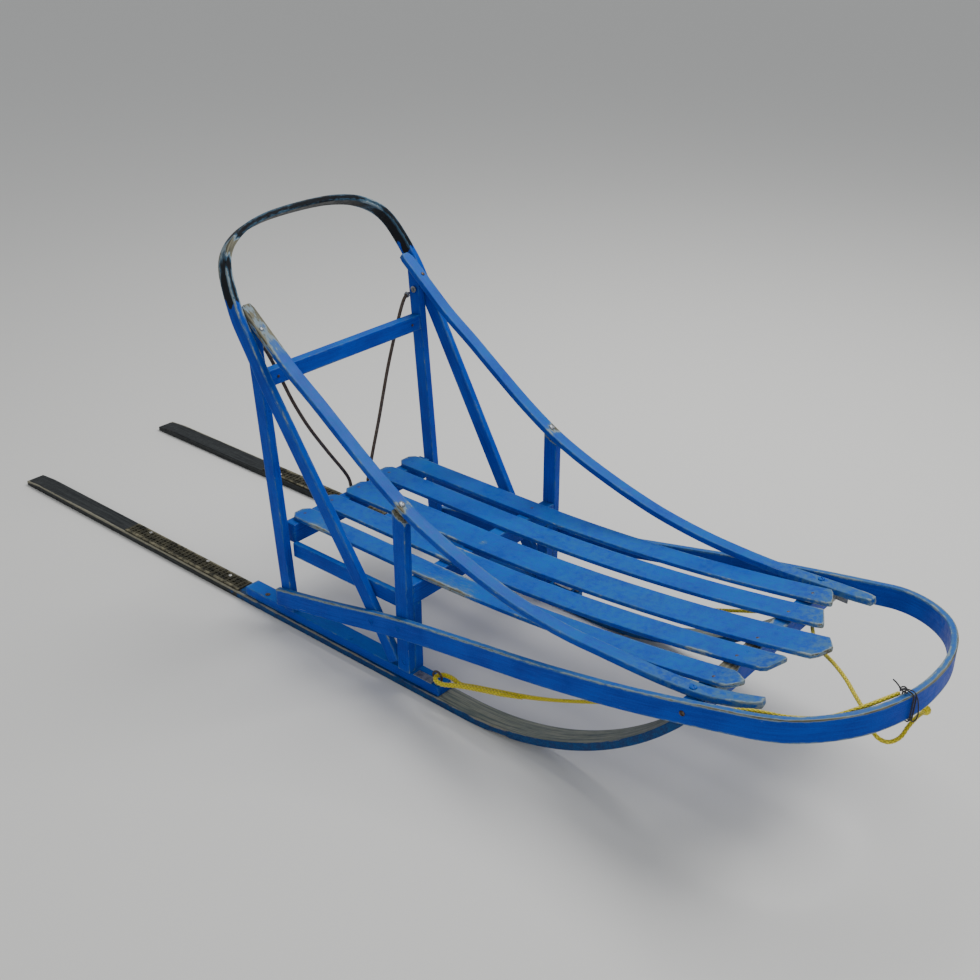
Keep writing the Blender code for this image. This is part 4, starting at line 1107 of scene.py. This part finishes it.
# ---- Metal and rubber ----
def make_tread(side):
    """A perforated rubber strip: raised rims and rows of slots, with three screws."""
    node = f"foot_tread_{SIDES[side]}"
    low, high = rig.box(node)
    length, width = high.x - low.x, high.y - low.y
    rows, columns = 5, round(length / SLOT_GAP)
    ys = [0.0, 0.0010, 0.0055, width - 0.0030, width - 0.0010, width]
    for row in range(rows):
        middle = 0.0062 + (width - 0.0100) * (row + 0.5) / rows
        half = 0.0029 if row in (1, 3) else 0.0009
        ys += [middle - half, middle + half]
    ys.sort()
    if side == LEFT:
        ys = [width - y for y in reversed(ys)]
    xs = [0.0, 0.002, length - 0.002, length]
    for column in range(columns):
        middle = 0.004 + (length - 0.008) * (column + 0.5) / columns
        xs += [middle - 0.0037, middle + 0.0037]
    xs.sort()
    last_x, last_y = len(xs) - 1, len(ys) - 1
    shape = bmesh.new()
    wear = []
    grid = {}

    def vert(place, height, edge=0.0):
        key = (*place, round(height, 5))
        if key not in grid:
            grid[key] = shape.verts.new((low.x + xs[place[0]], low.y + ys[place[1]], height))
            wear.append(edge)
        return grid[key]

    def upper(place):
        """The point of the top face here: highest at the rims, a little lower between them."""
        from_side = min(place[1], last_y - place[1])
        sunk = (0.0008, 0.0, 0.0, 0.0006)[min(from_side, 3)]
        return vert(place, high.z - sunk, 1.0 if from_side < 3 else 0.18)

    for ix in range(last_x):
        for iy in range(last_y):
            square = ((ix, iy), (ix + 1, iy), (ix + 1, iy + 1), (ix, iy + 1))
            is_slot = iy % 2 and 2 < iy < last_y - 2 and ix % 2 == 0 and 1 < ix < last_x - 1
            if not is_slot:
                shape.faces.new([upper(place) for place in square])
                continue
            floor = low.z + 0.0008
            shape.faces.new([vert(place, floor) for place in square])
            for here, there in zip(square, square[1:] + square[:1]):
                shape.faces.new((upper(here), upper(there), vert(there, floor),
                                 vert(here, floor)))
    outline = [(x, 0) for x in range(last_x)] + [(last_x, y) for y in range(last_y)]
    outline += [(x, last_y) for x in range(last_x, 0, -1)] + [(0, y) for y in range(last_y, 0, -1)]
    for here, there in zip(outline, outline[1:] + outline[:1]):
        shape.faces.new((upper(here), vert(here, low.z), vert(there, low.z), upper(there)))
    shape.faces.new([vert(place, low.z) for place in outline])
    finish_piece(f"tread_mat_{SIDES[side]}", shape, "tread_rubber", [node], {"edge": wear},
                 smooth=25)
    for index, (x, y) in enumerate(((-0.892, 0.213), (-0.672, 0.2085), (-0.579, 0.2165))):
        screw(f"tread_screw_{SIDES[side]}_{index}", (x, side * y, high.z + 0.0002), (0, 0, 1),
              0.0042, "rubbed_steel", "steel")


def screw(name, place, outward, radius, finish, slot_name="rusty_steel"):
    """The slotted, slightly domed head of a wood screw."""
    profile = [(reach * radius, -rise * radius) for reach, rise in (
        (0, 0.31), (0.25, 0.31), (0.6, 0.26), (0.93, 0.12))]
    profile += [(radius, 0.0002), (radius * 0.96, 0.0010), (0, 0.0010)]
    turned(name, profile, place, -Vector(outward), finish, 24, slot_name=slot_name,
           groove=(0.13 * radius, 0.2 * radius))


def bolt(node):
    """A bolt in the place of a plain CAD one, with a domed head, its slot and, where the CAD one has a nut, a nut."""
    points = np.array([vert.co for vert in frame["nodes"][node].data.vertices])
    middle = points.mean(axis=0)
    axis = np.linalg.eigh(np.cov((points - middle).T))[1][:, 2]
    along = (points - middle) @ axis
    reach = np.linalg.norm(points - middle - np.outer(along, axis), axis=1)
    if reach[along > 0].max() > reach[along <= 0].max():
        axis, along = -axis, -along
    head = float(reach[along < 0].max())
    seat = float(along[reach > 0.9 * head].max())
    tip = float(along.max()) - seat
    has_nut = float(reach[along > 0.5 * along.max()].max()) > 1.5 * BOLT_SHANK
    place = Vector(middle + axis * seat) - ORIGIN
    rise = 0.42 * head
    profile = [(0, -rise)]
    profile += [(head * math.sin(turn), -rise * (0.12 + 0.88 * math.cos(turn)))
                for turn in (math.radians(12 * index) for index in range(1, 8))]
    profile += [(head, -0.05 * rise), (head * 0.97, 0.0), (BOLT_SHANK, 0.0)]
    nut_top = tip - 0.002
    if has_nut:
        profile += [(BOLT_SHANK, nut_top), (BOLT_SHANK * 0.8, tip - 0.0004), (0, tip - 0.0004)]
    else:
        profile += [(BOLT_SHANK, tip), (0, tip)]
    slot_name = "rusty_steel" if node.startswith(RUSTY) else "steel"
    finish = "blue_paint" if node.startswith(PAINTED) else slot_name
    turned(f"{node}_steel", profile, place, axis, finish, 36, [node], slot_name=slot_name,
           groove=(0.14 * head, 0.5 * rise))
    if has_nut:
        nut(f"{node}_nut", NUT_RADIUS, nut_top - 0.005, nut_top,
            ((0.0006, 0.0005), (0.0008, 0.0006)), place, axis, finish, slot_name)


def make_hardware():
    for node in frame["nodes"]:
        if "_bolt_" in node:
            bolt(node)
    for side, tag in SIDES.items():
        route = [(x, side * y, z) for x, y, z in (*ROD_TOP, *ROD_FOOT[side])]
        line = evenly(smooth_through(route, 10), 0.006)
        rod(f"brace_rod_steel_{tag}", line, ROD_RADIUS, "rusty_steel", [f"brace_rod_{tag}"], 14)
        nut(f"brace_nut_{tag}", 0.0072, 0.0, 0.0056, ((0.0006, 0.0006), (0.0006, 0.0006)),
            line[1], line[1] - line[0], "steel")
        make_eyebolt(side)


def make_eyebolt(side):
    """A rod whose end is bent round into an eye, through a nut on the cap plank."""
    tag = SIDES[side]
    y = side * EYE_Y
    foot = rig.box(f"eyebolt_{tag}")[0].z
    line = [Vector((EYE_X, y, foot + 0.0004)), Vector((EYE_X, y, EYE_Z - EYE_RADIUS - 0.003))]
    for index in range(61):
        turn = -0.5 * math.pi + EYE_SWEEP * index / 60
        line.append(Vector((EYE_X + EYE_RADIUS * math.cos(turn), y,
                            EYE_Z + EYE_RADIUS * math.sin(turn))))
    rod(f"eyebolt_steel_{tag}", line, EYE_ROD, "rusty_steel", [f"eyebolt_{tag}"], 20)
    nut(f"eyebolt_nut_{tag}", 0.0062, 0.0, 0.0036, ((0.0004, 0.0005), (0.0006, 0.0006)),
        (EYE_X, y, foot + 0.0002), (0, 0, 1), "steel")


def make_screws():
    """Wood screws along the slats over the crosspieces, and in the upper crossbar."""
    for node, front_places in SCREW_PLACES.items():
        low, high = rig.box(node)
        for index, (x, share) in enumerate((*front_places, (-0.3450, 0.5), (0.018, 0.5))):
            y = low.y + (high.y - low.y) * share
            screw(f"{node}_screw_{index}", (x, y, deck_top(x) - 0.0004), (0, 0, 1), 0.0036,
                  "blue_paint" if index % 2 else "rusty_steel")
    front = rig.box("upper_crossbar")[1].x - ORIGIN.x
    for side, tag in SIDES.items():
        screw(f"crossbar_screw_{tag}", (front - 0.0003, side * 0.200, 0.578), (1, 0, 0), 0.0034,
              "rusty_steel")


def finish_cad_nodes():
    """Better materials for the CAD nodes that stay."""
    for name, node in frame["nodes"].items():
        if not node.hide_render:
            rusty = name.startswith(("brace_rod", "bow_", "post_foot"))
            node.data.materials.clear()
            node.data.materials.append(FINISHES["rusty_steel" if rusty else "steel"])


# ---- Ropes ----
def swell(along):
    """How thick the braid is, as a share: thin at its tucked-in tail and swollen by the splice."""
    tucked = ramp(along, 0.0, 0.05)
    spliced = 1.0 - ramp(along, SPLICE_LENGTH, SPLICE_FADE)
    return (0.45 + 0.55 * tucked) * (1.0 + SPLICE_SWELL * tucked * spliced)


class Strands:
    """Tubes of fibre in one mesh, with each point's place in its strand and its painted shade."""

    def __init__(self):
        self.shape = bmesh.new()
        self.grain = []
        self.painted_crease_shade = []

    def tube(self, rings):
        """Adds a tube. A ring is its centre, two half axes, its start and size for the grain,
        and what gives its painted shade from a cosine."""
        loops = []
        for centre, first, second, (start, wide, thick), painted_crease_shade in rings:
            loop = []
            for cosine, sine in circle(8):
                loop.append(self.shape.verts.new(centre + cosine * first + sine * second))
                self.grain.append((start, wide * cosine, thick * sine))
                self.painted_crease_shade.append(painted_crease_shade(cosine))
            loops.append(loop)
        skin(self.shape, loops)

    def twist(self, line, radius, plies=3, pitch=0.009):
        """Adds a cord of plies laid round each other along a line."""
        frames = frames_along(line)
        for ply in range(plies):
            rings = []
            for point, along, (way, across, third) in zip(line, distances(line), frames):
                turn = 2 * math.pi * (along / pitch + ply / plies)
                out = math.cos(turn) * across + math.sin(turn) * third
                half = radius * 0.52
                # Painted shade: each ply is darker on its inner side, in the groove between the plies.
                rings.append((point + out * radius * 0.48, half * out, half * way.cross(out),
                              (along + ply, radius, radius), lambda c: max(0.0, -0.8 * c)))
            self.tube(rings)

    def finish(self, name, finish, replaced, smooth):
        return finish_piece(name, self.shape, finish, replaced,
                            {"grain": self.grain, "edge": self.painted_crease_shade}, smooth)


def braid(name, route, replaced):
    """A hollow braid of flat strands round a core, along a route."""
    line = [point + ORIGIN for point in evenly(smooth_through(route, 8), ROPE_GAP)]
    travelled = distances(line)
    frames = frames_along(line)
    slope = math.atan2(2 * math.pi * BRAID_MIDDLE, STRAND_PITCH)
    strands = Strands()
    for direction in (1, -1):
        for strand in range(STRANDS):
            rings = []
            for point, along, (way, across, third) in zip(line, travelled, frames):
                turn = 2 * math.pi * (direction * along / STRAND_PITCH + strand / STRANDS)
                wave = direction * math.cos(2 * math.pi * STRANDS * along / STRAND_PITCH)
                out = math.cos(turn) * across + math.sin(turn) * third
                wide = way.cross(out) * math.cos(slope) - direction * way * math.sin(slope)
                size = swell(along)
                # Painted shade: each strand is darker where it dips under the others and towards its sides, in the
                # gaps of the braid.
                rings.append((
                    point + out * (BRAID_MIDDLE + BRAID_WAVE * wave) * size,
                    size * STRAND_WIDE * wide.normalized(), size * STRAND_THICK * out,
                    (along + strand * 0.7 + direction, STRAND_WIDE, STRAND_THICK),
                    lambda c, low=0.5 * (1 - wave): ramp(low + 0.45 * abs(c), 0.30, 1.0)))
            strands.tube(rings)
    # The core is painted dark all over, as the shade seen through the braid's gaps.
    rings = []
    for point, along, (_, across, third) in zip(line, travelled, frames):
        reach = CORE_RADIUS * swell(along)
        rings.append((point, reach * across, reach * third, (along, 1.0, 1.0), lambda c: 0.9))
    strands.tube(rings)
    return strands.finish(name, "tow_rope", replaced, 70), line, travelled[-1]


def make_ropes():
    knot = make_knot()
    for name, route, pieces in (("rope_right", RIGHT_ROPE, []), ("rope_left", LEFT_ROPE, [knot])):
        piece, line, length = braid(name, route, [name.replace("rope", "tow_rope")])
        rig.cord(piece, exit=line[-1], length=length, diameter=2 * ROPE_RADIUS, far_end="bare",
                stiffness="limp", lay="loose", path=line, with_pieces=pieces)


def make_knot():
    """The bunched, sewn end of the left rope."""
    centre = Vector(KNOT_CENTRE) + ORIGIN
    shape = bmesh.new()
    bmesh.ops.create_icosphere(shape, subdivisions=4, radius=KNOT_RADIUS)
    grain, painted_crease_shade = [], []
    for vert in shape.verts:
        p = vert.co.normalized()
        turn = math.atan2(p.z, p.x)
        rib = math.sin(5 * turn + 9 * p.y) * math.sin(5 * turn - 9 * p.y)
        vert.co = vert.co * (1.0 + 0.09 * rib) + centre
        grain.append((turn * 0.01, p.y * 0.008, rib * 0.001))
        # Painted shade in the hollows between the knot's ribs.
        painted_crease_shade.append(max(0.0, -0.6 * rib))
    return finish_piece("rope_end_knot", shape, "tow_rope", ["rope_knot"],
                        {"grain": grain, "edge": painted_crease_shade}, smooth=80)


def bow_at(y):
    """The middle of the bow's top edge and its direction, this far left of the middle."""
    line = bow_line()
    nearest = min(range(1, len(line) - 1), key=lambda index: abs(line[index].y - y)
                  if line[index].x > 0.5 else 9.0)
    return line[nearest], (line[nearest + 1] - line[nearest - 1]).normalized()


def make_tie():
    """A thin black cord wound almost twice round the bow, its ends knotted and left loose."""
    top, way = bow_at(-TIE_STATION)
    way = Vector((way.x, way.y, 0.0)).normalized()
    out = Vector((way.y, -way.x, 0.0))

    def beside(along, outward, up):
        return ORIGIN + top + way * along + out * outward + Vector((0.0, 0.0, up))

    wide = 0.5 * BOW_THICK + TIE_RADIUS + TIE_CLEAR
    tall = 0.5 * BOW_HEIGHT + TIE_RADIUS + TIE_CLEAR
    steps = 220
    line = []
    for index in range(steps + 1):
        turn = 2 * math.pi * TIE_TURNS * index / steps + 0.5 * math.pi
        sine, cosine = math.sin(turn), math.cos(turn)
        reach = (abs(cosine) ** 6 + abs(sine) ** 6) ** (-1 / 6)
        line.append(beside(-0.006 + 0.0115 * index / steps, wide * reach * cosine,
                           tall * reach * sine - 0.5 * BOW_HEIGHT))
    line = evenly(line, TIE_GAP)
    wound = Strands()
    wound.twist(line, 1.15 * TIE_RADIUS)
    cord = wound.finish("bow_tie_cord", "tie_cord", ["bow_tie"], 80)
    loose = Strands()
    for route, radius in ((TIE_LOOP, 0.0012), (TIE_KNOT, 0.0014)):
        curve = smooth_through([beside(*place) for place in route], 8)
        loose.twist(evenly(curve, TIE_GAP), radius)
    ends = loose.finish("bow_tie_ends", "tie_cord", [], 80)
    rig.cord(cord, exit=line[0], length=distances(line)[-1], diameter=2 * TIE_RADIUS,
            far_end="knot", stiffness="limp", lay="taut", path=line, with_pieces=[ends])


def main():
    make_camera()
    make_studio()
    make_finishes()
    make_ropes()
    make_tie()
    for side, tag in SIDES.items():
        make_runner(side)
        make_plank(f"runner_cap_{tag}", 0)
        make_tread(side)
        for node in ("front_stanchion", "rear_stanchion", "front_post_block"):
            low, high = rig.box(f"{node}_{tag}")
            top = (high.x - ORIGIN.x - 0.010, 0.5 * (low.y + high.y), high.z, 0.030, 1.0)
            make_plank(f"{node}_{tag}", 2, [top] if node == "front_stanchion" else [])
        make_plank(f"lower_side_bar_{tag}", 0)
        make_rail(side)
    for node in ("crosspiece_rear", "crosspiece_middle", "upper_crossbar"):
        make_plank(node, 1)
    make_front_crosspiece()
    make_handlebar()
    make_bow()
    for node in SLAT_CORNERS:
        make_slat(node)
    make_hardware()
    make_screws()
    finish_cad_nodes()


main()
low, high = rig.bounds()
with open("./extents.json", "w") as sizes:
    json.dump({"cad": [list(corner) for corner in cad_box], "visual": [list(low), list(high)]}, sizes)
